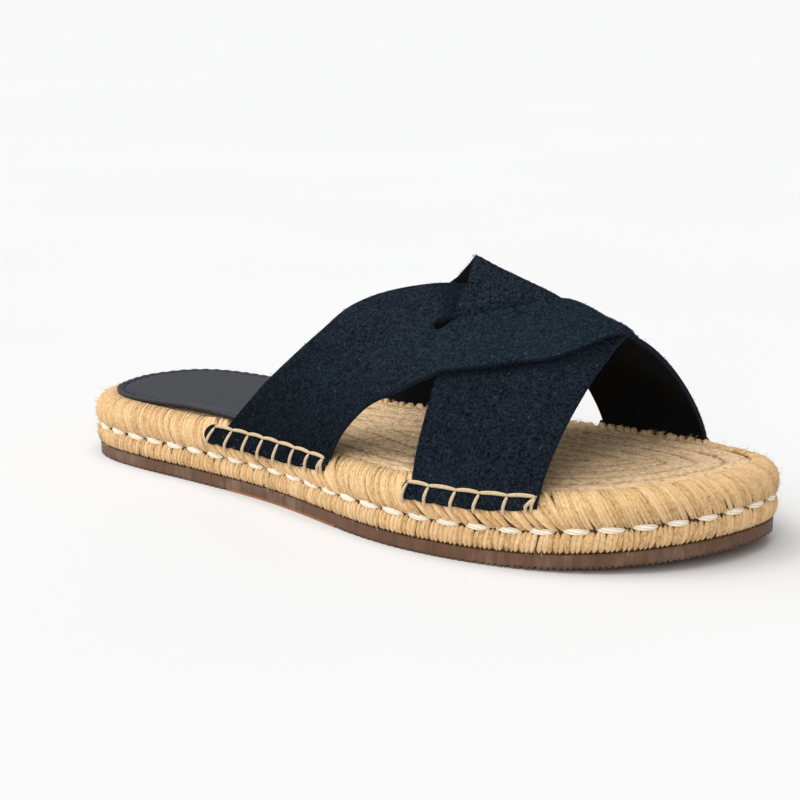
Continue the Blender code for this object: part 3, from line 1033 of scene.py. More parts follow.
@dataclass
class Outsole:
    """Rubber outsole: a plain side, two areas of small square studs and a smooth waist."""

    thickness: float = 0.0048
    edge: float = 0.0004
    tread_depth: float = 0.0009
    # Top of the tread's blocks, inside the body, as a share of the tread's depth.
    block_top: float = 1.5
    stud_pitch: float = 0.0020
    stud_slope: float = 0.00062
    groove_radius: float = 0.0710
    groove_front: float = 0.1390
    groove_rear: float = 0.0818
    groove_centre: float = 0.0015
    groove_width: float = 0.0011
    tread_inset: float = 0.00005
    rim_width: float = 0.0036
    # Faces this near the rim and not level take the side's finish, whose dark rim colour is painted shade on
    # them.
    side_reach: float = 0.85
    side_slope: float = -0.95
    points_round: int = 420
    plan_points: int = 900
    groove_points: int = 70

    def build(self) -> None:
        """Make the side and the tread."""
        # The side's rubber is a darker copy of the tread's: painted shade on the side. Its rim colour paints
        # deeper shade on the stud walls at the rim.
        side = RubberFinish("gum_rubber_side_painted_shade", (0.070, 0.031, 0.014), (0.155, 0.070, 0.033),
                            (0.080, 0.037, 0.017), scuff=(0.33, 0.235, 0.18), scuffed=0.6).material()
        # The tread's pale amber rim colour is a painted glow of light through the rubber's edge.
        tread = RubberFinish("gum_rubber_tread", (0.210, 0.082, 0.030), (0.340, 0.150, 0.060),
                             (0.720, 0.360, 0.085), scuffed=0.12).material()
        self.body(side)
        self.tread([tread, side])

    def body(self, finish: Material) -> None:
        """Make the closed body over the tread, with its plain side.

        Args:
            finish: Its material.
        """
        bench = MeshBench()
        sections = ((-self.edge, self.tread_depth), (0.0, self.tread_depth),
                    (0.0, self.thickness - self.edge), (-self.edge, self.thickness))
        bench.loft([SOLE.ring(self.points_round, offset, height) for offset, height in sections])
        bench.close()
        bench.piece("outsole_body", [finish], ("outsole",))

    def arc(self, rear: float, across: Array) -> Array:
        """Station of a groove, bowed to the heel, at places across the foot."""
        aside = across - self.groove_centre
        return rear + self.groove_radius - np.sqrt(self.groove_radius ** 2 - aside ** 2)

    def plan(self, area: Area) -> Array:
        """Outline of one area of the underside, between the grooves.

        Args:
            area: Area of the underside.

        Returns:
            Points on the plan, in order.
        """
        half = self.groove_width / 2
        spots, outward = SOLE.at(np.linspace(0, SOLE.perimeter, self.plan_points, endpoint=False))
        spots = spots - self.tread_inset * outward
        rear = spots[:, 1] - self.arc(self.groove_rear, spots[:, 0])
        front = spots[:, 1] - self.arc(self.groove_front, spots[:, 0])
        kept = {Area.HEEL: rear < -half, Area.WAIST: (rear > half) & (front < -half),
                Area.FOREFOOT: front > half}[area]
        on_outer = np.arange(len(spots)) < len(spots) // 2
        outer = spots[kept & on_outer]
        inner = spots[kept & ~on_outer]
        loops = [outer]
        if area is not Area.FOREFOOT:
            ahead = np.linspace(outer[-1, 0], inner[0, 0], self.groove_points)[1:-1]
            groove = self.groove_rear if area is Area.HEEL else self.groove_front
            loops.append(np.column_stack([ahead, self.arc(groove, ahead) - half]))
        loops.append(inner)
        if area is not Area.HEEL:
            behind = np.linspace(inner[-1, 0], outer[0, 0], self.groove_points)[1:-1]
            groove = self.groove_rear if area is Area.WAIST else self.groove_front
            loops.append(np.column_stack([behind, self.arc(groove, behind) + half]))
        return np.vstack(loops)

    def block(self, bench: MeshBench, area: Area, low: float) -> None:
        """Add an upright block with the outline of an area, from a height up.

        Args:
            bench: Mesh that gets the block.
            area: Area of the underside.
            low: Height of its underside.
        """
        plan = self.plan(area)
        face, _ = bench.disc(np.column_stack([plan, np.full(len(plan), low)]))
        top = bench.raise_face(face)
        rise = self.block_top * self.tread_depth - low
        bmesh.ops.translate(bench.mesh, vec=(0, 0, rise), verts=list(top.verts))
        bmesh.ops.recalc_face_normals(bench.mesh, faces=bench.mesh.faces)

    def studs(self, bench: MeshBench, area: Area) -> None:
        """Add a slab of studs: a grid set cornerwise, each face drawn out to a blunt point.

        Args:
            bench: Mesh that gets them.
            area: Area of the underside.
        """
        plan = self.plan(area)
        centre = (plan.min(axis=0) + plan.max(axis=0)) / 2
        reach = float(np.abs(plan - centre).sum(axis=1).max()) * math.sqrt(0.5)
        cells = 2 * int(reach / self.stud_pitch + 1)
        verts, row, column = bench.grid(cells, cells)
        step = self.stud_pitch * math.sqrt(0.5)
        spots = np.column_stack([(row - column) * step, (row + column - cells) * step]) + centre
        bench.put(verts, np.column_stack([spots, np.full(len(spots), self.tread_depth)]))
        near = {vert for vert, held in zip(verts, SOLE.holds(spots)) if held}
        far = [face for face in bench.mesh.faces if not any(vert in near for vert in face.verts)]
        bmesh.ops.delete(bench.mesh, geom=far, context="FACES")
        bench.thicken(self.tread_depth)
        under = [face for face in bench.mesh.faces if face.normal.z < -0.5]
        bmesh.ops.inset_individual(bench.mesh, faces=under, thickness=self.stud_slope, depth=self.tread_depth)

    def cut_studs(self, bench: MeshBench, area: Area) -> None:
        """Add an area of studs, cut off along the area's outline.

        Args:
            bench: Mesh that gets them.
            area: Area of the underside.
        """
        slab = MeshBench()
        self.studs(slab, area)
        limit = MeshBench()
        self.block(limit, area, -self.tread_depth)
        tools = [placed(name, source.data(name)) for name, source in (("slab", slab), ("limit", limit))]
        cut = tools[0].modifiers.new("cut", "BOOLEAN")
        cut.operation = "INTERSECT"
        cut.solver = "EXACT"
        cut.object = tools[1]
        graph = bpy.context.evaluated_depsgraph_get()
        bench.mesh.from_mesh(tools[0].evaluated_get(graph).to_mesh())
        for tool in tools:
            data = tool.data
            bpy.data.objects.remove(tool)
            bpy.data.meshes.remove(data)

    def tread(self, finishes: list[Material]) -> None:
        """Make the underside, both areas of studs and the waist, in its finish and the side's.

        Args:
            finishes: Materials of the tread and the side.
        """
        bench = MeshBench()
        self.cut_studs(bench, Area.HEEL)
        self.cut_studs(bench, Area.FOREFOOT)
        self.block(bench, Area.WAIST, 0.0)
        bench.close()
        # Mask of the painted rim colour near the outline, none on the waist.
        rim = bench.layer("rim")
        verts = list(bench.mesh.verts)
        plan = np.array([vert.co[:2] for vert in verts])
        past_rear = plan[:, 1] > self.arc(self.groove_rear, plan[:, 0])
        waist = past_rear & (plan[:, 1] < self.arc(self.groove_front, plan[:, 0]))
        near = 1 - smooth_step(SOLE.depth_inside(plan), 0.0, self.rim_width)
        bench.paint(verts, rim, np.where(waist, 0.0, near))
        for vert, rise in zip(verts, SOLE.lift(plan[:, 1]).tolist()):
            vert.co.z += rise
        bench.mesh.normal_update()
        for face in bench.mesh.faces:
            reach = sum(vert[rim] for vert in face.verts) / len(face.verts)
            face.material_index = int(reach > self.side_reach and face.normal.z > self.side_slope)
        bench.piece("outsole_tread", finishes, sharp=20.0)


@dataclass
class Handwork:
    """Base of what is made by hand: its small differences are drawn at random from a seed."""

    seed: int
    random: np.random.Generator = field(init=False)

    def __post_init__(self) -> None:
        """Start the random draws."""
        self.random = np.random.default_rng(self.seed)


@dataclass
class JuteMidsole(Handwork):
    """Midsole of bound jute: upright yarns below, slanted yarns over the shoulder, rows on top."""

    seed: int = 11
    points_round: int = 300
    stitch_height: float = 0.0125
    stitch_pitch: float = 0.0110
    stitch_length: float = 0.0092
    stitch_lengths: tuple = (0.92, 1.08)
    stitch_slants: tuple = (0.0004, 0.0010)
    stitch_half: tuple = (0.00115, 0.00075)
    stitch_blunt: float = 0.28
    # Dark thread between some of the long stitches.
    under_share: float = 0.4
    under_offset: float = -0.0001
    under_length: float = 0.0016
    under_slant: float = 0.0006
    under_half: tuple = (0.0005, 0.0004)
    # How far a yarn strays along the side, as a share of the pitch, and the tones of the yarns.
    stray: tuple = (-0.15, 0.15)
    tones: tuple = (0.15, 1.0)
    yarn_blunt: float = 0.35
    yarn_sides: int = 6
    # Upright yarns: ranges are drawn from at random for each.
    lower_foot: float = 0.0050
    lower_overlap: float = 0.0002
    lower_pitch: float = 0.00180
    lower_lean: float = 0.0014
    lower_swing: tuple = (0.4, 1.6)
    lower_gather: float = 0.08
    lower_offset: float = -0.0007
    lower_bulge: float = 0.00135
    lower_bulges: tuple = (0.8, 1.12)
    lower_half_width: tuple = (0.00100, 0.00125)
    lower_half_height: tuple = (0.00065, 0.00085)
    # Slanted yarns, and ropes of them that are bound under the straps.
    upper_pitch: float = 0.00135
    bound_pitch: float = 0.0036
    upper_lean: float = 0.0090
    bound_lean: float = 0.0165
    upper_leans: tuple = (0.85, 1.15)
    upper_proud: tuple = (-0.00015, 0.00025)
    upper_width: tuple = (0.56, 0.70)
    upper_height: tuple = (0.12, 0.20)
    upper_least_height: float = 0.00045
    bound_narrower: float = 0.30
    bound_higher: float = 0.70
    # Footbed: rows of braid that follow the outline, with dark lines between them.
    footbed_inset: float = 0.0058
    footbed_step: float = 0.0010
    footbed_top: float = 0.0237
    footbed_thickness: float = 0.0022
    row_width: float = 0.0088
    row_start: float = 0.0024
    row_crown: float = 0.0005
    line_reach: tuple = (0.0002, 0.0011)
    line_depth: float = 0.0009
    coarseness: float = 0.00022
    # Loose fibres: some stand low on the side, the others on the shoulder.
    fibres: int = 6000
    fibre_radius: float = 0.00006
    fibre_seat: tuple = (0.0005, 0.0003)
    fibre_low_share: float = 0.45
    fibre_low_heights: tuple = (0.006, 0.011)
    fibre_rises: tuple = (-0.2, 0.9)
    fibre_out: float = 0.5
    fibre_runs: tuple = (-1.6, 1.6)
    fibre_strays: tuple = (-0.5, 0.5)
    fibre_length: tuple = (0.0009, 0.0028)
    fibre_curls: tuple = (0.2, 0.6)
    fibre_tones: tuple = (0.5, 1.0)
    # Stations where the straps are stitched down, on both sides alike.
    bases: tuple = ((0.085, 0.153), (0.192, 0.2385))
    # Side of the slanted yarns from the stitch up and over: offset from the outline, height.
    shoulder: tuple = (
        (-0.0007, 0.0124),
        (0.0004, 0.0139),
        (0.0008, 0.0160),
        (0.0007, 0.0182),
        (-0.0001, 0.0202),
        (-0.0016, 0.0221),
        (-0.0038, 0.0234),
        (-0.0064, 0.0239),
        (-0.0086, 0.0234),
    )
    # Body behind the yarns from the outsole up and over: offset from the outline, height.
    inside: tuple = (
        (-0.0012, 0.0050),
        (-0.0002, 0.0086),
        (-0.0014, 0.0125),
        (-0.0002, 0.0165),
        (-0.0010, 0.0200),
        (-0.0034, 0.0222),
        (-0.0066, 0.0226),
        (-0.0082, 0.0160),
    )
    # Low tone of the core: with its dark finish it is painted shade in the gaps between the yarns.
    painted_gap_shade_tone: float = 0.1

    def build(self) -> None:
        """Make the core, the yarns, the footbed, the long stitches and loose fibres."""
        yarn = JuteFinish().material()
        # The core's dark finish is painted shade, seen in the gaps between the yarns.
        core = JuteFinish("jute_core_painted_shade", (0.10, 0.050, 0.020), (0.25, 0.140, 0.060), (0.42, 0.27, 0.13))
        self.core(core.material())
        self.lower_yarns(yarn)
        self.upper_yarns(yarn)
        self.footbed(FootbedFinish().material())
        self.long_stitches()
        self.loose_fibres()

    def core(self, finish: Material) -> None:
        """Make the closed body behind the yarns, dark as painted shade in the gaps between them.

        Args:
            finish: Its material.
        """
        bench = MeshBench()
        tone = bench.layer("tone")
        bench.loft([SOLE.ring(self.points_round, offset, height) for offset, height in self.inside])
        bench.close()
        for vert in bench.mesh.verts:
            vert[tone] = self.painted_gap_shade_tone
        bench.piece("jute_core_painted_shade", [finish], ("jute_midsole",))

    def yarn(self, bench: MeshBench, place: Array, offset: Array, height: Array,
             half: tuple[float, float]) -> None:
        """Add one yarn on the side of the sole, in a tone of its own.

        Args:
            bench: Mesh that gets the yarn.
            place: Lengths along the outline of the yarn's points.
            offset: Distances outwards from the outline.
            height: Heights over the underside.
            half: Half of the yarn's width along the side and half of its thickness.
        """
        path, outward = SOLE.beside(place, offset, height)
        rise = np.gradient(height)
        sink = np.gradient(offset)
        steep = np.hypot(rise, sink)
        up = np.column_stack([outward * (rise / steep)[:, None], -sink / steep])
        tone = float(self.random.uniform(*self.tones))
        verts = bench.thread(path, up, half, self.yarn_blunt, self.yarn_sides, square=True)
        bench.paint(verts, bench.layer("tone"), np.full(len(verts), tone))

    def lower_yarns(self, finish: Material) -> None:
        """Make the upright yarns between the outsole and the long stitches.

        Args:
            finish: Their material.
        """
        bench = MeshBench()
        bench.layer("tone")
        share = np.linspace(0, 1, 7)
        count = int(SOLE.perimeter / self.lower_pitch)
        height = self.lower_foot + (self.stitch_height + self.lower_overlap - self.lower_foot) * share
        for i in range(count):
            place = (i + self.random.uniform(*self.stray)) * SOLE.perimeter / count
            hole = (round(place / self.stitch_pitch - 0.5) + 0.5) * self.stitch_pitch
            gather = self.lower_gather * (hole - place) * share ** 2
            swing = self.random.uniform(*self.lower_swing)
            bulge = self.lower_bulge * self.random.uniform(*self.lower_bulges)
            offset = self.lower_offset + bulge * np.sin(math.pi * (0.10 + 0.80 * share))
            half_width = self.random.uniform(*self.lower_half_width)
            half_height = self.random.uniform(*self.lower_half_height)
            self.yarn(bench, place + gather + self.lower_lean * swing * (share - 0.5), offset, height,
                      (half_width, half_height))
        bench.close()
        bench.piece("jute_lower_yarns", [finish])

    def upper_yarns(self, finish: Material) -> None:
        """Make the slanted yarns that run from the long stitches over the shoulder.

        Args:
            finish: Their material.
        """
        bench = MeshBench()
        bench.layer("tone")
        table = np.array(self.shoulder)
        share = np.linspace(0, 1, 11)
        known = np.linspace(0, 1, len(table))
        offset, height = (smooth_lookup(share, known, table[:, column]) for column in (0, 1))
        start = 0.0
        while start < SOLE.perimeter:
            bound = self.bound(start)
            pitch = self.upper_pitch + (self.bound_pitch - self.upper_pitch) * bound
            place = start + pitch * self.random.uniform(*self.stray)
            lean = self.upper_lean + (self.bound_lean - self.upper_lean) * bound
            lean *= self.random.uniform(*self.upper_leans)
            proud = self.random.uniform(*self.upper_proud)
            half_width = pitch * self.random.uniform(*self.upper_width) * (1 - self.bound_narrower * bound)
            thickness = pitch * self.random.uniform(*self.upper_height) * (1 + self.bound_higher * bound)
            self.yarn(bench, place + lean * (0.5 - share), offset + proud, height + proud * 0.5,
                      (half_width, self.upper_least_height + thickness))
            start += pitch
        bench.close()
        bench.piece("jute_upper_yarns", [finish])

    def bound(self, place: float) -> float:
        """How far the yarns are gathered into ropes at a place: 1 under the straps' bases.

        Args:
            place: Length along the outline.

        Returns:
            A share from 0 to 1.
        """
        station = SOLE.at(np.array([place]))[0][0, 1]
        return float(sum(smooth_step(station, low - 0.006, low + 0.002)
                         * (1 - smooth_step(station, high - 0.002, high + 0.008))
                         for low, high in self.bases))

    def footbed(self, finish: Material) -> None:
        """Make the trodden top: rows that follow the outline, with a dark line between them.

        Args:
            finish: Its material.
        """
        bench = MeshBench()
        seam = bench.layer("seam")
        width = 1.1 * SOLE.ball_width
        rows = int(width / self.footbed_step)
        columns = int(SOLE.length / self.footbed_step)
        verts, row, column = bench.grid(rows, columns)
        plan = np.column_stack([(row / rows - 0.5) * width, column / columns * SOLE.length])
        x, y = plan.T
        depth = SOLE.depth_inside(plan) * np.where(SOLE.holds(plan), 1, -1)
        waver = 0.0006 * np.sin(y * 95) + 0.0005 * np.sin(y * 41 + x * 60)
        turn = (depth - self.footbed_inset - self.row_start + waver) / self.row_width
        line = 0.5 - np.abs(turn - np.floor(turn) - 0.5)
        broken = 0.62 + 0.38 * np.sin(y * 130 + np.floor(turn) * 2.1)
        groove = (1 - smooth_step(line * self.row_width, *self.line_reach)) * broken
        crown = self.row_crown * np.sqrt(np.clip(line * 2, 0, 1))
        coarse = self.coarseness * np.sin(x * 900 + y * 410) * np.sin(y * 1130 - x * 300)
        height = self.footbed_top + crown + coarse - self.line_depth * groove + SOLE.lift(y)
        bench.put(verts, np.column_stack([plan, height]))
        bench.paint(verts, seam, groove)
        outside = [vert for vert, inside in zip(verts, depth > self.footbed_inset) if not inside]
        bmesh.ops.delete(bench.mesh, geom=outside, context="VERTS")
        bench.thicken(-self.footbed_thickness)
        bench.piece("jute_footbed", [finish], sharp=75.0)

    def stitch(self, bench: MeshBench, place: Array, offset: Array, height: Array,
               half: tuple, sides: int) -> None:
        """Add one stitch along the side of the sole.

        Args:
            bench: Mesh that gets the stitch.
            place: Lengths along the outline of the stitch's points.
            offset: Distances outwards from the outline.
            height: Heights over the underside.
            half: Half of the stitch's width and of its thickness.
            sides: Faces around it.
        """
        path, outward = SOLE.beside(place, offset, height)
        bench.thread(path, np.column_stack([outward, np.zeros(len(path))]), half, self.stitch_blunt, sides)

    def long_stitches(self) -> None:
        """Make the long cream stitches round the side and the dark thread that shows between some."""
        cream = ThreadFinish("cream_thread", (0.62, 0.50, 0.34), (0.96, 0.89, 0.75), (0.8, 4.0, 1.0))
        maroon = ThreadFinish("maroon_thread", (0.06, 0.012, 0.012), (0.17, 0.035, 0.035))
        count = round(SOLE.perimeter / self.stitch_pitch)
        share = np.linspace(0, 1, 9)
        offset = -0.0006 + 0.0011 * np.sin(math.pi * share) ** 0.7
        bench = MeshBench()
        for i in range(count):
            length = self.stitch_length * self.random.uniform(*self.stitch_lengths)
            slant = self.random.uniform(*self.stitch_slants)
            height = self.stitch_height + 0.0001 - slant * (share - 0.5)
            place = i * SOLE.perimeter / count + length * (share - 0.5)
            self.stitch(bench, place, offset, height, self.stitch_half, 8)
        bench.close()
        bench.piece("long_stitches", [cream.material()])
        bench = MeshBench()
        height = self.stitch_height - self.under_slant * (share - 0.5)
        for i in range(count):
            if self.random.random() <= self.under_share:
                place = (i + 0.5) * SOLE.perimeter / count + self.under_length * (share - 0.5)
                self.stitch(bench, place, self.under_offset, height, self.under_half, 6)
        bench.close()
        bench.piece("under_thread", [maroon.material()])

    def loose_fibres(self) -> None:
        """Make stray fibres that stand off the yarns and the rim of the footbed."""
        pale = JuteFinish("jute_fibre", shade=(0.42, 0.28, 0.14), body=(0.66, 0.47, 0.25))
        bench = MeshBench()
        tone = bench.layer("tone")
        table = np.array(self.shoulder)
        count = self.fibres
        place = self.random.uniform(0, SOLE.perimeter, count)
        base = table[self.random.integers(1, len(table) - 1, count)] + self.fibre_seat
        low = self.random.random(count) < self.fibre_low_share
        heights = self.random.uniform(*self.fibre_low_heights, count)
        base[low] = np.column_stack([np.full(count, self.fibre_seat[0]), heights])[low]
        root, outward = SOLE.beside(place, base[:, 0], base[:, 1])
        out = np.column_stack([outward, self.random.uniform(*self.fibre_rises, count)])
        run = np.column_stack([-outward[:, 1], outward[:, 0], np.zeros(count)])
        heading = self.fibre_out * out + run * self.random.uniform(*self.fibre_runs, (count, 1))
        heading[:, 2] += self.random.uniform(*self.fibre_strays, count)
        shortest, longer = self.fibre_length
        length = shortest + longer * self.random.random((count, 1)) ** 2
        curl = unit(self.random.normal(size=(count, 3))) * length
        curl = curl * self.random.uniform(*self.fibre_curls, (count, 1))
        share = np.linspace(0, 1, 4)[:, None]
        paths = root[:, None] + (unit(heading) * length)[:, None] * share + curl[:, None] * share ** 2
        verts, fibre = bench.strands(paths, self.fibre_radius * np.array([0.0, 1.0, 0.8, 0.0]), 3)
        bench.paint(verts, tone, self.random.uniform(*self.fibre_tones, count)[fibre])
        bench.close(1e-7)
        bench.piece("jute_loose_fibres", [pale.material()])


@dataclass
class HeelSock:
    """Leather heel sock with a sewn edge."""

    bottom: float = 0.0241
    thickness: float = 0.0016
    inset: float = 0.0070
    inner_inset: float = 0.0030
    front: float = 0.1080
    corner: float = 0.012
    sole_points: int = 600
    points_round: int = 440
    smoothings: int = 4
    stitch_inset: float = 0.0026
    stitch_pitch: float = 0.0048
    stitch_share: float = 0.76
    stitch_rise: float = 0.00022
    stitch_seat: float = 0.80
    stitch_half: tuple = (0.00042, 0.00034)
    stitch_blunt: float = 0.4
    # How far a stitch pulls the leather down, how broadly, and how far the edge swells between.
    pull_depth: float = 0.00022
    pull_reach: float = 0.0016
    swell: float = 0.00030
    swell_reach: float = 0.0022
    curl_height: float = 0.0018
    curl_station: float = 0.072
    curl_reach: tuple = (0.045, 0.010)
    # Edge from the lower rim inwards: inset from the edge, height share of the thickness.
    edge: tuple = (
        (0.0002, 0.00),
        (0.0000, 0.30),
        (0.0000, 0.70),
        (0.0003, 0.90),
        (0.0009, 1.00),
        (0.0017, 0.97),
        (0.0023, 0.78),
        (0.0029, 0.78),
        (0.0036, 0.97),
        (0.0055, 1.01),
        (0.0070, 1.00),
        (0.0085, 1.00),
        (0.0100, 1.00),
    )

    def path(self) -> Array:
        """Outline of the sock on the plan, evenly spaced from the heel round the outer side.

        Returns:
            An array of x and y.
        """
        ring = SOLE.ring(self.sole_points, -self.inset, 0.0)[:, :2]
        ring[:, 0] += self.inner_inset * np.clip(-ring[:, 0] / ring[:, 0].max(), 0, 1)
        limit = self.front - self.corner
        split = int(np.argmax(ring[:, 1]))
        outer, inner = (half[half[:, 1] < limit] for half in (ring[:split], ring[split:]))
        turns = np.linspace(0, math.pi / 2, 12)
        across = self.corner * (1 - np.cos(turns))
        along = self.corner * np.sin(turns)
        outer_corner = np.column_stack([outer[-1, 0] - across, limit + along])
        inner_corner = np.column_stack([inner[0, 0] + across, limit + along])[::-1]
        curve = np.vstack([outer, outer_corner, inner_corner, inner, outer[:1]])
        run = run_along(curve)
        places = np.linspace(0.0, run[-1], self.points_round, endpoint=False)
        path = np.column_stack([np.interp(places, run, curve[:, axis]) for axis in range(2)])
        for _ in range(self.smoothings):
            path = (np.roll(path, 1, axis=0) + 2 * path + np.roll(path, -1, axis=0)) / 4
        return path

    def build(self) -> None:
        """Make the pad and its stitches."""
        path = self.path()
        along = unit(np.roll(path, -1, axis=0) - np.roll(path, 1, axis=0))
        outward = np.column_stack([along[:, 1], -along[:, 0]])
        length = float(np.linalg.norm(np.roll(path, -1, axis=0) - path, axis=1).sum())
        count = round(length / self.stitch_pitch)
        pull = 0.5 + 0.5 * np.cos(2 * math.pi * count * np.arange(len(path)) / len(path))
        bench = MeshBench()
        rings = []
        for inset, share in self.edge:
            near = math.exp(-((inset - self.stitch_inset) / self.pull_reach) ** 2)
            edge = max(0.0, 1 - inset / self.swell_reach) * share
            height = self.bottom + self.thickness * share + self.curl(path, inset)
            height = height - self.pull_depth * near * pull + self.swell * edge * (1 - pull)
            rings.append(np.column_stack([path - outward * inset, height]))
        bench.loft(rings)
        bench.close()
        leather = LeatherFinish().material()
        bench.piece("heel_sock_pad", [leather], ("heel_sock",), sharp=60.0)
        self.stitches(path, outward, count)

    def curl(self, path: Array, inset: float) -> Array:
        """How far the edge stands off the jute on the outer side, at an inset from the outline."""
        along = bump(path[:, 1], self.curl_station, self.curl_reach[0]) * (path[:, 0] > 0)
        return self.curl_height * along * max(0.0, 1 - inset / self.curl_reach[1]) ** 2

    def stitches(self, path: Array, outward: Array, count: int) -> None:
        """Make the fine stitches round the edge.

        Args:
            path: Outline of the sock.
            outward: Outward directions along it.
            count: Number of stitches.
        """
        thread = ThreadFinish("navy_thread", (0.010, 0.016, 0.040), (0.045, 0.065, 0.120))
        bench = MeshBench()
        top = self.bottom + self.stitch_seat * self.thickness + self.curl(path, self.stitch_inset)
        line = np.column_stack([path - outward * self.stitch_inset, top])
        looped = np.vstack([line, line[:1]])
        order = np.arange(len(looped))
        share = np.linspace(0, 1, 7)
        for i in range(count):
            place = ((i + 0.5 + self.stitch_share * (share - 0.5)) / count * len(line)) % len(line)
            run = np.column_stack([np.interp(place, order, looped[:, axis]) for axis in range(3)])
            run[:, 2] += self.stitch_rise * np.sin(math.pi * share)
            up = np.tile((0.0, 0.0, 1.0), (len(run), 1))
            bench.thread(run, up, self.stitch_half, self.stitch_blunt, 6)
        bench.close()
        bench.piece("heel_sock_stitches", [thread.material()])


@dataclass
class Instep:
    """Form of the foot that the straps follow."""

    base_height: float = 0.0232
    base_offset: float = -0.0012
    ridge_round: float = 0.22
    slope_step: float = 0.002
    normal_steps: tuple = (1, 0.001)

    def base_x(self, side: Side, station: Array) -> Array:
        """Inner face of a strap at its base, just outside the midsole."""
        slope = self.slope(side, station)
        return SOLE.side_x(side, station) + side.value * self.base_offset * np.sqrt(1 + slope ** 2)

    def slope(self, side: Side, station: Array) -> Array:
        """Slope of one side of the sole, across the foot for each step along it."""
        step = self.slope_step
        return (SOLE.side_x(side, station + step) - SOLE.side_x(side, station - step)) / (2 * step)

    def points(self, turn: Array, station: Array) -> Array:
        """Points of the instep.

        Args:
            turn: Turns about the foot from the outer base, in degrees.
            station: Stations along the foot.

        Returns:
            An array with x, y and z on its last axis.
        """
        table = np.array(INSTEP)
        ridge, height, form = (smooth_lookup(station, table[:, 0], table[:, i]) for i in (1, 2, 3))
        across = np.cos(np.radians(turn))
        rise = np.clip(np.sin(np.radians(turn)), 0, 1) ** form
        edge = np.where(across > 0, self.base_x(Side.OUTER, station), self.base_x(Side.INNER, station))
        reach = np.abs(across) * (np.hypot(across, self.ridge_round)
                                  / math.hypot(1, self.ridge_round)) ** (form - 1)
        base = self.base_height + SOLE.lift(station)
        return np.stack([ridge + (edge - ridge) * reach, station, base + (height - base) * rise], -1)

    def normals(self, turn: Array, station: Array) -> Array:
        """Outward directions of the instep at turns and stations.

        Args:
            turn: Turns about the foot, in degrees.
            station: Stations along the foot.

        Returns:
            Directions of length 1.
        """
        turn = np.clip(turn, 2, 178)
        around, ahead = self.normal_steps
        across = self.points(turn + around, station) - self.points(turn - around, station)
        along = self.points(turn, station + ahead) - self.points(turn, station - ahead)
        return unit(np.cross(along, across))


@dataclass(frozen=True)
class Crease:
    """Soft trough or ridge across a strap: middle and reach in rows and width shares, depth."""

    row: float
    share: float
    row_reach: float
    share_reach: float
    depth: float


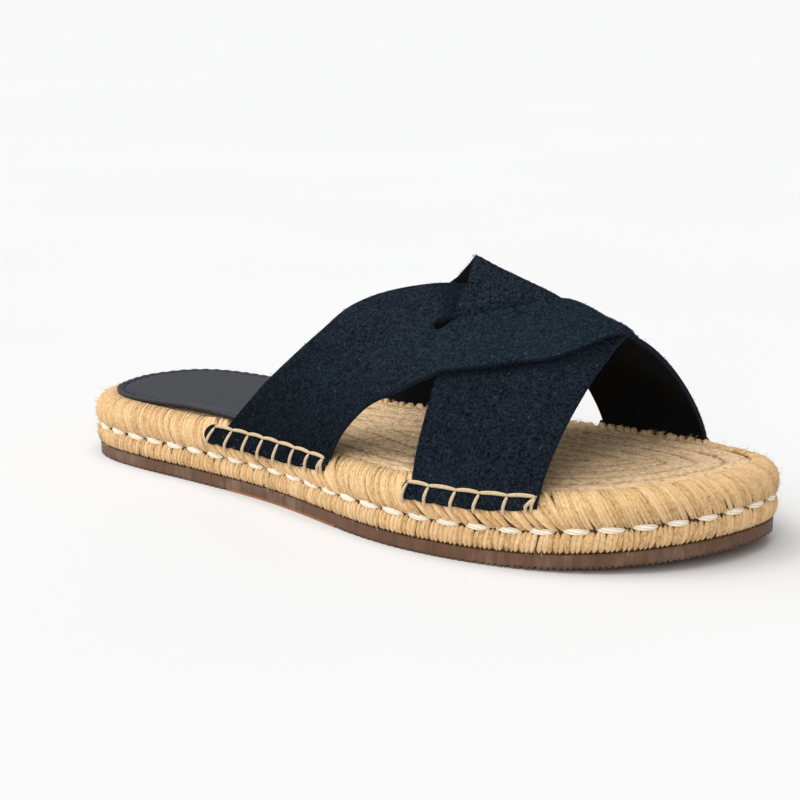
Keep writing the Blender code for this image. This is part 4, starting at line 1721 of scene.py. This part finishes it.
@dataclass
class Strap:
    """One strap from its wide base over the instep to its narrow base."""

    role: StrapRole
    instep: Instep
    thickness: float = 0.0018
    clearance: float = 0.0001
    edge_bevel: float = 0.00045
    slit_share: float = 0.6
    slit_rows: tuple = (5.70, 9.667)
    slit_ends: float = 0.3
    slit_gap: float = 0.095
    lip_rise: float = 0.65
    hole_rows: tuple = (5.68, 5.82, 6.10, 6.40)
    crest_turn: float = 87
    crest_lift: float = 0.0096
    crest_flanks: tuple = (30.0, 9.0)
    crest_round: float = 0.06
    crest_shift: float = 0.014
    shift_flanks: tuple = (30.0, 26.0)
    inner_shift: float = 0.0036
    inner_turns: tuple = (120.0, 30.0)
    fold_power: float = 1.8
    # Loose rear edge of the passing strap: rise, share of the width, middle and reach in turns.
    rear_rise: float = 0.0010
    rear_share: float = 0.16
    rear_turns: tuple = (70.0, 45.0)
    # Distances over which a strap climbs on the other, at its edges, a lip, the slit and behind it.
    edge_climb: tuple = (-0.004, 0.003)
    lip_climb: tuple = (-0.009, 0.0)
    slit_climb: tuple = (-0.005, 0.003)
    rear_climb: tuple = (0.004, 0.028)
    sag_climb: tuple = (0.0, 0.022)
    slit_approach: float = 0.25
    sag_turn: float = 108
    sag_reach: tuple = (34.0, 56.0)
    sag_share: float = 0.7
    sag_depth: float = 0.008
    # Pairs of values for the wide and the narrow end.
    margin_drop: tuple = (0.0056, 0.0044)
    margin_tab: tuple = (0.0085, 0.0030)
    stitch_counts: tuple = (8, 6)
    margin_spread: float = 0.0026
    margin_taper: float = 0.5
    margin_bulge: float = 0.0007
    margin_lean: float = 0.3
    # Strength of the painted shadow that the other strap throws on a strap, beside its edges and at the slit.
    painted_shade_strength: float = 0.55
    # Rows of the mesh below a base, as shares of the margin's height.
    margin_rows: tuple = (0.05, 0.14, 0.28, 0.45, 0.62, 0.78, 0.91, 1.0)
    row_steps: int = 13
    width_steps: int = 50
    creases: tuple = ()
    table: Array = field(init=False)
    last_row: int = field(init=False)
    fine: Array = field(init=False)

    def __post_init__(self) -> None:
        """Keep the rows as an array, and a finer reading of them."""
        self.table = np.array(STRAP_ROWS, dtype=float)
        self.last_row = len(self.table) - 1
        self.fine = self.rows(np.linspace(0, self.last_row, 3 * self.last_row + 1))

    @property
    def mirrored(self) -> bool:
        """Whether the wide base is on the inner side."""
        return self.role is StrapRole.PASSING

    def rows(self, row: Array) -> Array:
        """Rows of the strap's table, read smoothly between its own rows.

        Args:
            row: Rows, also between whole numbers.

        Returns:
            Turn and station of both edges.
        """
        slope = np.gradient(self.table, axis=0)
        low = np.clip(np.floor(row).astype(int), 0, self.last_row - 1)
        share = (row - low)[..., None]
        return hermite(self.table[low], self.table[low + 1], slope[low], slope[low + 1], share)

    @staticmethod
    def between(line: Array, share: Array) -> tuple[Array, Array]:
        """Turns and stations at shares of the width between the edges, on rows of the table."""
        return line[:, 0] + share * (line[:, 2] - line[:, 0]), line[:, 1] + share * (line[:, 3] - line[:, 1])

    def edge_station(self, turn: Array, front: bool, mirrored: bool) -> Array:
        """Station of the rear or front edge of a strap at turns about the foot."""
        column = 2 if front else 0
        return np.interp(180 - turn if mirrored else turn, self.fine[:, column], self.fine[:, column + 1])

    def slit_station(self, turn: Array) -> Array:
        """Station of the slit line of the outer rear strap at turns about the foot."""
        return np.interp(turn, *self.between(self.fine, self.slit_share))

    def crest(self, turn: Array, flanks: tuple) -> Array:
        """Share of the passing strap's crest at turns: straight flanks up to a soft fold."""
        flank = np.where(turn < self.crest_turn, *flanks)
        return np.clip(1 - np.hypot((turn - self.crest_turn) / flank, self.crest_round), 0, None)

    def sag(self, turn: Array, station: Array, share: Array) -> Array:
        """Drop of the passing strap behind the other strap, where nothing carries it.

        Args:
            turn: Turns about the foot, in degrees.
            station: Stations along the foot.
            share: Shares of the strap's width from the rear edge.

        Returns:
            The drops.
        """
        behind = smooth_step(self.edge_station(turn, False, False) - station, *self.sag_climb)
        reach = np.where(turn < self.sag_turn, *self.sag_reach)
        return self.sag_depth * behind * bump(turn, self.sag_turn, reach) * bump(share, 0.0, self.sag_share)

    def level(self, turn: Array, station: Array, share: Array, slit: Array, ahead: bool) -> Array:
        """Height of the strap's inner face over the instep.

        Args:
            turn: Turns about the foot.
            station: Stations along the foot.
            share: Shares of the strap's width from its rear edge.
            slit: How open the slit is there, from 0 to 1.
            ahead: Whether the points are on the part ahead of the slit.

        Returns:
            The heights.
        """
        over = self.thickness + self.clearance
        if self.role is StrapRole.SLIT:
            past_rear = smooth_step(station - self.edge_station(turn, False, True), *self.edge_climb)
            past_front = smooth_step(self.edge_station(turn, True, True) - station, *self.edge_climb)
            raised = over * past_rear * past_front
            if ahead:
                lip = slit * smooth_step(self.slit_station(turn) - station, *self.lip_climb)
                return raised * (1 + self.lip_rise * lip)
            return raised * (1 - slit) * smooth_step(share, self.slit_approach, self.slit_share)
        behind = smooth_step(self.slit_station(turn) - station, *self.slit_climb)
        off_strap = smooth_step(self.edge_station(turn, False, False) - station, *self.rear_climb)
        fold = self.crest_lift * self.crest(turn, self.crest_flanks) * behind * (1 - share) ** self.fold_power
        loose = self.rear_rise * bump(share, 0.0, self.rear_share) * behind * (1 - off_strap)
        loose = loose * bump(turn, *self.rear_turns)
        return over * behind * (1 - off_strap) + fold + loose - self.sag(turn, station, share)

    def face(self, row: Array, share: Array, ahead: bool) -> Array:
        """Points of the strap's inner face.

        Args:
            row: Rows along the strap.
            share: Shares of its width from the rear edge.
            ahead: Whether the points are on the part ahead of the slit.

        Returns:
            An array of x, y and z.
        """
        turn, station = self.between(self.rows(row), share)
        if self.mirrored:
            turn = 180 - turn
            ahead_by = self.crest_shift * self.crest(turn, self.shift_flanks)
            ahead_by = ahead_by + self.inner_shift * bump(turn, *self.inner_turns)
            station = station + ahead_by * (1 - share) ** 2
        start, stop = self.slit_rows
        opened = smooth_step(row, start, start + self.slit_ends)
        slit = opened * smooth_step(-row, -stop, self.slit_ends - stop)
        rise = self.level(turn, station, share, slit, ahead)
        for crease in self.creases:
            rise = rise + crease.depth * (bump(row, crease.row, crease.row_reach)
                                          * bump(share, crease.share, crease.share_reach))
        return self.instep.points(turn, station) + self.instep.normals(turn, station) * rise[:, None]

    def side(self, end: StrapEnd) -> Side:
        """Side of the foot where an end of the strap is stitched."""
        return Side.OUTER if (end is StrapEnd.WIDE) != self.mirrored else Side.INNER

    def base_line(self, end: StrapEnd) -> Array:
        """Row of the strap's table at one of its bases."""
        return self.table[0 if end is StrapEnd.WIDE else -1]

    def tab(self, end: StrapEnd, drop: Array) -> Array:
        """How far the margin reaches behind the strap's rear edge, with a round end."""
        rounded = 0.55 + 0.45 * np.sqrt(np.clip(1 - (2 * drop - 1) ** 2, 0, 1))
        return self.margin_tab[end.value] * np.where(drop > 0, rounded, 0.0)

    def share_at(self, end: StrapEnd, station: Array, drop: Array) -> Array:
        """Share of the margin's width at stations along the foot.

        Args:
            end: End of the strap.
            station: Stations along the foot.
            drop: Shares of the margin's height.

        Returns:
            The shares.
        """
        line = self.base_line(end)
        tab = self.tab(end, drop)
        return (station - line[1] + tab) / (line[3] - line[1] + tab)

    def puff(self, end: StrapEnd, share: Array, drop: Array) -> Array:
        """How far the margin swells out between its stitches."""
        between = np.abs(np.sin(math.pi * (share * self.stitch_counts[end.value] + 0.35)))
        return self.margin_bulge * np.sin(math.pi * np.clip(drop, 0, 1)) ** 0.7 * (0.45 + 0.55 * between)

    def margin(self, end: StrapEnd, share: Array, drop: Array, proud: Array) -> Array:
        """Points of the stitched margin below a base.

        Args:
            end: End of the strap.
            share: Shares of the strap's width from the rear edge.
            drop: Shares of the margin's height, 0 at the base line.
            proud: Distances outwards from the inner face.

        Returns:
            An array of x, y and z.
        """
        side = self.side(end)
        line = self.base_line(end)
        base = line[1] + share * (line[3] - line[1])
        station = base - self.tab(end, drop) * np.clip(1 - share, 0, None)
        fall = self.margin_drop[end.value] * drop * (1 - self.margin_taper * np.clip(share, 0, 1) ** 4)
        spread = self.margin_spread * fall / self.margin_drop[0]
        slope = self.instep.slope(side, station)
        outward = unit(np.stack([np.full_like(slope, float(side.value)), -side.value * slope], -1))
        across = self.instep.base_x(side, station) + side.value * spread
        height = self.instep.base_height + SOLE.lift(base) - fall
        return np.column_stack([across + outward[:, 0] * proud, station + outward[:, 1] * proud,
                                height + self.margin_lean * proud])

    def sheet(self, bench: MeshBench, low: float, high: float, ahead: bool) -> None:
        """Add the inner face over a part of the strap's width.

        Args:
            bench: Mesh that gets the face.
            low: Share of the width at one border.
            high: Share of the width at the other border.
            ahead: Whether the part is ahead of the slit.
        """
        layers = [bench.layer(name) for name in ("painted_light_and_shade", "cast")]
        drops = np.array(self.margin_rows)
        lead = len(drops)
        inner_rows = self.row_steps * self.last_row
        columns = max(2, round(self.width_steps * (high - low)))
        verts, row, column = bench.grid(inner_rows + 2 * lead, columns)
        share = low + (high - low) * column / columns
        points = np.zeros((len(verts), 3))
        on_strap = (row >= lead) & (row <= lead + inner_rows)
        along = (row[on_strap] - lead) / self.row_steps
        points[on_strap] = self.face(along, self.part_lips(along, share[on_strap], ahead), ahead)
        for end, gap in ((StrapEnd.WIDE, lead - row), (StrapEnd.NARROW, row - lead - inner_rows)):
            chosen = gap > 0
            drop = drops[gap[chosen] - 1]
            points[chosen] = self.margin(end, share[chosen], drop, self.puff(end, share[chosen], drop))
        bench.put(verts, points)
        # Painted light and shade, and the teal tint of the nap, for each vertex.
        place = np.clip((row - lead) / self.row_steps, 0, self.last_row)
        for layer, values in zip(layers, self.nap(place, share, ahead)):
            bench.paint(verts, layer, values)

    def nap(self, row: Array, share: Array, ahead: bool) -> tuple[Array, Array]:
        """Painted light and shade over the strap, and how teal its nap looks.

        Args:
            row: Rows along the strap.
            share: Shares of its width from the rear edge.
            ahead: Whether the points are on the part ahead of the slit.

        Returns:
            The painted light and shade, higher where lighter, and how teal the nap looks, both from 0 to 1.
        """
        turn, station = self.between(self.rows(row), share)
        if self.role is StrapRole.PASSING:
            turn = 180 - turn
            # Painted light: the passing strap lighter towards its crest.
            light = 0.45 + 0.50 * bump(row, 6.6, 3.6) * (1 - 0.5 * share)
            # Painted shadows: just ahead of the slit strap's front edge, and along the slit where this strap
            # passes under the lip.
            past = station - self.edge_station(turn, True, False)
            under = smooth_step(past, -0.002, 0.0) * (1 - smooth_step(past, 0.001, 0.011))
            slit_shadow = bump(self.slit_station(turn) - station, 0.0005, 0.005) * smooth_step(turn, 52.0, 60.0)
            return light - self.painted_shade_strength * np.maximum(under, slit_shadow), np.zeros(len(row))
        start = self.slit_rows[0]
        # Painted light: the slit strap darker near its wide base, lighter up the instep.
        light = 0.12 + 0.58 * smooth_step(row, 0.5, 5.5)
        near_slit = smooth_step(share, self.slit_share - 0.25, self.slit_share + 0.1)
        front = smooth_step(row, 3.5, 6.5) * near_slit
        if ahead:
            # Ahead of the slit: a painted highlight along the lip; the band near the slit darker and teal.
            lip = bump(share, self.slit_share, 0.07) * smooth_step(row, start, start + 0.8)
            return light - 0.15 * front + 0.20 * lip, front
        # Behind the slit: a painted shadow up to the passing strap's rear edge, where the teal tint is taken
        # out.
        past = station - self.edge_station(turn, False, True)
        shaded = smooth_step(past, -0.010, 0.0) * smooth_step(row, 4.5, 5.5)
        return light - self.painted_shade_strength * shaded, front * (1 - shaded)

    def part_lips(self, row: Array, share: Array, ahead: bool) -> Array:
        """Draw the two lips of the slit apart at its outer end, where a small hole shows.

        Args:
            row: Rows along the strap.
            share: Shares of the strap's width from the rear edge.
            ahead: Whether the points are on the part ahead of the slit.

        Returns:
            The shares, moved.
        """
        if self.role is not StrapRole.SLIT:
            return share
        start, wide, narrow, stop = self.hole_rows
        hole = smooth_step(row, start, wide) * (1 - smooth_step(row, narrow, stop)) * self.slit_gap
        if ahead:
            return share + 0.12 * hole * (1 - (share - self.slit_share) / (1 - self.slit_share)) ** 5
        return share - 0.88 * hole * (share / self.slit_share) ** 8

    def build(self, name: str, materials: list[Material]) -> None:
        """Make the strap.

        Args:
            name: Name of the piece.
            materials: Materials of the nap side, the inner side and the cut edge.
        """
        bench = MeshBench()
        if self.role is StrapRole.SLIT:
            self.sheet(bench, 0.0, self.slit_share, False)
            self.sheet(bench, self.slit_share, 1.0, True)
        else:
            self.sheet(bench, 0.0, 1.0, False)
        bmesh.ops.remove_doubles(bench.mesh, verts=bench.mesh.verts, dist=2e-6)
        bmesh.ops.recalc_face_normals(bench.mesh, faces=bench.mesh.faces)
        if sum(face.normal.z * face.calc_area() for face in bench.mesh.faces) < 0:
            bmesh.ops.reverse_faces(bench.mesh, faces=bench.mesh.faces)
        made = bench.piece(name, materials, ("upper",), sharp=180.0)
        wall = made.modifiers.new("thickness", "SOLIDIFY")
        wall.thickness = self.thickness
        wall.offset = 1.0
        wall.use_even_offset = False
        wall.material_offset = 1
        wall.material_offset_rim = 2
        edge = made.modifiers.new("edge", "BEVEL")
        edge.width = self.edge_bevel
        edge.segments = 2
        edge.limit_method = "ANGLE"
        edge.angle_limit = math.radians(50)


@dataclass
class BlanketStitch(Handwork):
    """Hand stitches that bind the straps' margins to the jute."""

    thread: float = 0.00062
    scallop: float = 0.0005
    reach: float = 0.0030
    seed: int = 23
    # Half of a thread's width and half of its height, as shares of its radius.
    flatness: tuple = (1.1, 0.9)
    upright_share: float = 0.92
    blunt: float = 0.2
    outward: tuple = (0.94, 0.0, 0.34)
    # Knots along a base: share of the tab behind the first, gap before the front edge, stray.
    knot_tab: float = 0.45
    knot_front: float = 0.0008
    knot_stray: float = 0.0006
    # Top thread: drop below the base line, how far it runs past its knots, rise over the margin.
    top_drop: float = 0.04
    top_past: float = 0.08
    top_rise: float = 0.0003
    sunk: float = 0.55
    # Lean of the upright threads: share of the tab, what all have, that of the last one, stray.
    lean_tab: float = 0.21
    lean_all: float = 0.0004
    lean_last: float = 0.0021
    lean_stray: float = 0.0004
    # Points of an upright thread as shares of the margin's height, then its tail as shares of the reach.
    upright_drops: tuple = (0.01, 0.15, 0.35, 0.55, 0.75, 0.92, 1.0)
    tail: tuple = ((0.0, 0.0, -0.27), (-0.05, 0.0, -0.6), (-0.45, 0.0, -1.0))

    def build(self, straps: tuple[Strap, ...]) -> None:
        """Make the stitches of every base in one mesh.

        Args:
            straps: The straps that are stitched.
        """
        finish = ThreadFinish("linen_thread", (0.36, 0.245, 0.125), (0.74, 0.58, 0.37), (16.0, 2.0, 1.0))
        bench = MeshBench()
        for strap in straps:
            for end in StrapEnd:
                self.base(bench, strap, end)
        bench.close()
        bench.piece("blanket_stitches", [finish.material()])

    def run(self, bench: MeshBench, path: Array, side: Side, radius: float) -> None:
        """Add one length of thread along a path, rounded off at its ends.

        Args:
            bench: Mesh that gets the thread.
            path: Points along it.
            side: Side of the foot.
            radius: Half of its thickness.
        """
        outward = np.tile(np.array(self.outward) * (side.value, 1, 1), (len(path), 1))
        half = (radius * self.flatness[0], radius * self.flatness[1])
        bench.thread(path, outward, half, self.blunt, 7, square=True)

    def base(self, bench: MeshBench, strap: Strap, end: StrapEnd) -> None:
        """Add the stitches of one base.

        Args:
            bench: Mesh that gets the threads.
            strap: Strap whose base is stitched.
            end: End of the strap.
        """
        tab = strap.margin_tab[end.value]
        count = strap.stitch_counts[end.value]
        line = strap.base_line(end)
        knots = np.linspace(line[1] - self.knot_tab * tab, line[3] - self.knot_front, count)
        knots[1:-1] += self.random.uniform(-self.knot_stray, self.knot_stray, count - 2)
        proud = strap.thickness + self.sunk * self.thread
        steps = np.linspace(0, 1, 9)
        drop = np.full(len(steps), self.top_drop)
        for start, stop in zip(knots, knots[1:]):
            station = start + (stop - start) * ((1 + 2 * self.top_past) * steps - self.top_past)
            share = strap.share_at(end, station, drop)
            path = strap.margin(end, share, drop, np.full(len(steps), proud + 0.0001))
            path[:, 2] += self.scallop * np.sin(math.pi * steps) + self.top_rise
            self.run(bench, path, strap.side(end), self.thread)
        for share, knot in zip(np.linspace(0, 1, count), knots):
            lean = -self.lean_tab * tab * (1 - share) ** 2 - self.lean_all
            self.upright(bench, strap, end, float(knot), proud, lean)
        self.upright(bench, strap, end, float(knots[-1]), proud, -self.lean_last)

    def upright(self, bench: MeshBench, strap: Strap, end: StrapEnd, knot: float, proud: float,
                lean: float) -> None:
        """Add one thread from the base line down over the margin and into the jute.

        Args:
            bench: Mesh that gets the thread.
            strap: Strap whose base is stitched.
            end: End of the strap.
            knot: Station where the thread starts.
            proud: How far it stands off the inner face.
            lean: How far its foot is ahead of its head.
        """
        side = strap.side(end)
        lean += self.random.uniform(-self.lean_stray, self.lean_stray)
        drop = np.array(self.upright_drops)
        share = strap.share_at(end, knot + lean * drop, drop)
        path = strap.margin(end, share, drop, proud + strap.puff(end, share, drop) + 0.00012)
        tail = np.array(self.tail) * self.reach * (side.value, 1.0, 1.0)
        self.run(bench, np.vstack([path, path[-1] + tail]), side, self.thread * self.upright_share)


@dataclass
class NapFibres(Handwork):
    """Short fibres that stand off the straps' faces and cut edges and soften them."""

    on_edge: int = 700
    on_face: int = 9000
    border: float = 0.005
    length: tuple = (0.0005, 0.0011)
    radius: float = 0.00007
    bend: float = 250
    end_rows: float = 0.1
    # Shares of the thickness where fibres stand, on the edges and on the faces.
    edge_depths: tuple = (0.1, 1.0)
    face_depth: float = 0.96
    # Headings: spread along, across and off the strap, and how far off they all lean.
    spread: tuple = (0.9, 0.9, 0.25)
    lean_off: float = 0.5
    # A point inside the foot, and the steps that show how the strap lies.
    foot_height: float = 0.03
    row_step: float = 0.05
    share_step: float = 0.01
    seed: int = 31

    def build(self, straps: tuple[Strap, ...]) -> None:
        """Make the fibres of all straps in one mesh.

        Args:
            straps: The straps that carry fibres.
        """
        finish = CutEdgeFinish("suede_fibre", (0.004, 0.006, 0.010), (0.068, 0.080, 0.096))
        paths = []
        for strap in straps:
            borders = (0.0, strap.slit_share, 1.0) if strap.role is StrapRole.SLIT else (0.0, 1.0)
            for low, high in zip(borders, borders[1:]):
                count = round(self.on_face * (high - low))
                share = self.random.uniform(low + self.border, high - self.border, count)
                paths.append(self.stand(strap, share, low > 0, 0.0))
            for front, past in ((False, -1.0), (True, 1.0)):
                paths.append(self.stand(strap, np.full(self.on_edge, float(front)), front, past))
        bench = MeshBench()
        bench.strands(np.concatenate(paths), self.radius * np.array([0.0, 1.0, 0.0]), 3)
        bench.close(1e-7)
        bench.piece("nap_fibres", [finish.material()])

    def stand(self, strap: Strap, share: Array, ahead: bool, past: float) -> Array:
        """Work out fibres at random rows of a strap.

        Args:
            strap: Strap that carries the fibres.
            share: Shares of its width where they stand.
            ahead: Whether that is ahead of the slit.
            past: 1 or -1 for fibres on the front or the rear edge, 0 for fibres on the face.

        Returns:
            Three points for each fibre.
        """
        count = len(share)
        row = self.random.uniform(self.end_rows, strap.last_row - self.end_rows, count)
        root = strap.face(row, share, ahead)
        along = unit(strap.face(row + self.row_step, share, ahead) - root)
        across = unit(root - strap.face(row, share - self.share_step, ahead))
        normal = unit(np.cross(along, across))
        from_foot = (root - (0.0, 0.0, self.foot_height)) * (1, 0, 1)
        normal *= np.sign((normal * from_foot).sum(axis=1))[:, None]
        depth = self.random.uniform(*self.edge_depths, count) if past else np.full(count, self.face_depth)
        root = root + normal * (strap.thickness * depth)[:, None]
        mixed = self.random.normal(size=(count, 3)) * self.spread + (0.0, past, self.lean_off)
        heading = unit(along * mixed[:, :1] + across * mixed[:, 1:2] + normal * mixed[:, 2:])
        reach = self.random.uniform(*self.length, (count, 1, 1)) * np.array([0.0, 0.5, 1.0])[:, None]
        bend = unit(self.random.normal(size=(count, 3)))
        return root[:, None] + heading[:, None] * reach + self.bend * bend[:, None] * reach ** 2


@dataclass
class CrossStraps:
    """The upper: two suede straps, one through a slit in the other, and their stitches."""

    slit_creases: tuple = (
        Crease(2.6, 0.95, 1.6, 0.35, -0.0009),
        Crease(4.6, 0.20, 1.8, 0.45, 0.0007),
        Crease(1.2, 0.45, 1.4, 0.50, -0.0006),
        Crease(7.4, 0.86, 1.6, 0.16, 0.0006),
    )
    passing_creases: tuple = (
        Crease(11.0, 0.55, 1.6, 0.50, -0.0006),
        Crease(9.2, 0.85, 1.2, 0.30, 0.0004),
    )

    def build(self) -> None:
        """Make both straps and the stitches at their four bases."""
        instep = Instep()
        finishes = [SuedeFinish().material(), LiningFinish().material(), CutEdgeFinish().material()]
        slit = Strap(StrapRole.SLIT, instep, creases=self.slit_creases)
        passing = Strap(StrapRole.PASSING, instep, creases=self.passing_creases)
        slit.build("slit_strap", finishes)
        passing.build("passing_strap", finishes)
        NapFibres().build((slit, passing))
        BlanketStitch().build((slit, passing))


@dataclass
class Studio:
    """Pale floor, soft lights and the camera."""

    camera_place: tuple = (0.508, 0.434, 0.185)
    aim: tuple = (0.0, 0.0, 0.034)
    lens: float = 84.0
    clip: tuple = (0.01, 500.0)
    floor_size: float = 120.0
    daylight: float = 0.45
    # Broad suns: direction that they shine from, strength and angle.
    suns: tuple = (
        ((0.28, -0.05, 0.95), 1.70, 1.1),
        ((0.40, -0.65, 0.62), 1.25, 1.0),
        ((0.85, 0.40, 0.50), 1.00, 0.5),
    )

    def build(self) -> None:
        """Make the floor, the light and the camera."""
        self.floor()
        self.light()
        self.camera()

    def floor(self) -> None:
        """Make the floor."""
        bench = MeshBench()
        bmesh.ops.create_grid(bench.mesh, x_segments=4, y_segments=4, size=self.floor_size / 2)
        data = bench.data("floor")
        data.materials.append(FloorFinish().material())
        made = placed("floor", data)

    @staticmethod
    def aimed(place: tuple, target: tuple) -> tuple[Vector, Euler]:
        """Place and turn of something at a place that looks at a target."""
        start = Vector(place)
        return start, (Vector(target) - start).to_track_quat("-Z", "Y").to_euler()

    def light(self) -> None:
        """Make the even daylight and the broad suns."""
        world = bpy.data.worlds.new("studio")
        world.use_nodes = True
        sky = world.node_tree.nodes["Background"]
        sky.inputs["Color"].default_value = (1.0, 1.0, 1.0, 1.0)
        sky.inputs["Strength"].default_value = self.daylight
        bpy.context.scene.world = world
        for number, (place, strength, angle) in enumerate(self.suns):
            data = bpy.data.lights.new(f"broad_sun_{number}", "SUN")
            data.energy = strength
            data.angle = angle
            lamp = placed(data.name, data)
            lamp.location, lamp.rotation_euler = self.aimed(place, (0.0, 0.0, 0.0))
        bpy.context.scene.view_settings.view_transform = "Standard"

    def camera(self) -> None:
        """Make the camera and use it."""
        data = bpy.data.cameras.new("camera")
        data.lens = self.lens
        data.clip_start, data.clip_end = self.clip
        made = placed("camera", data)
        made.location, made.rotation_euler = self.aimed(self.camera_place, self.aim)
        bpy.context.scene.camera = made


def main() -> None:
    """Build the sandal and the studio."""
    logging.basicConfig(level=logging.INFO, format="%(name)s: %(message)s")
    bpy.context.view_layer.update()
    for part in (Outsole(), JuteMidsole(), HeelSock(), CrossStraps(), Studio()):
        part.build()
    bpy.context.view_layer.update()


if __name__ == "__main__":
    main()
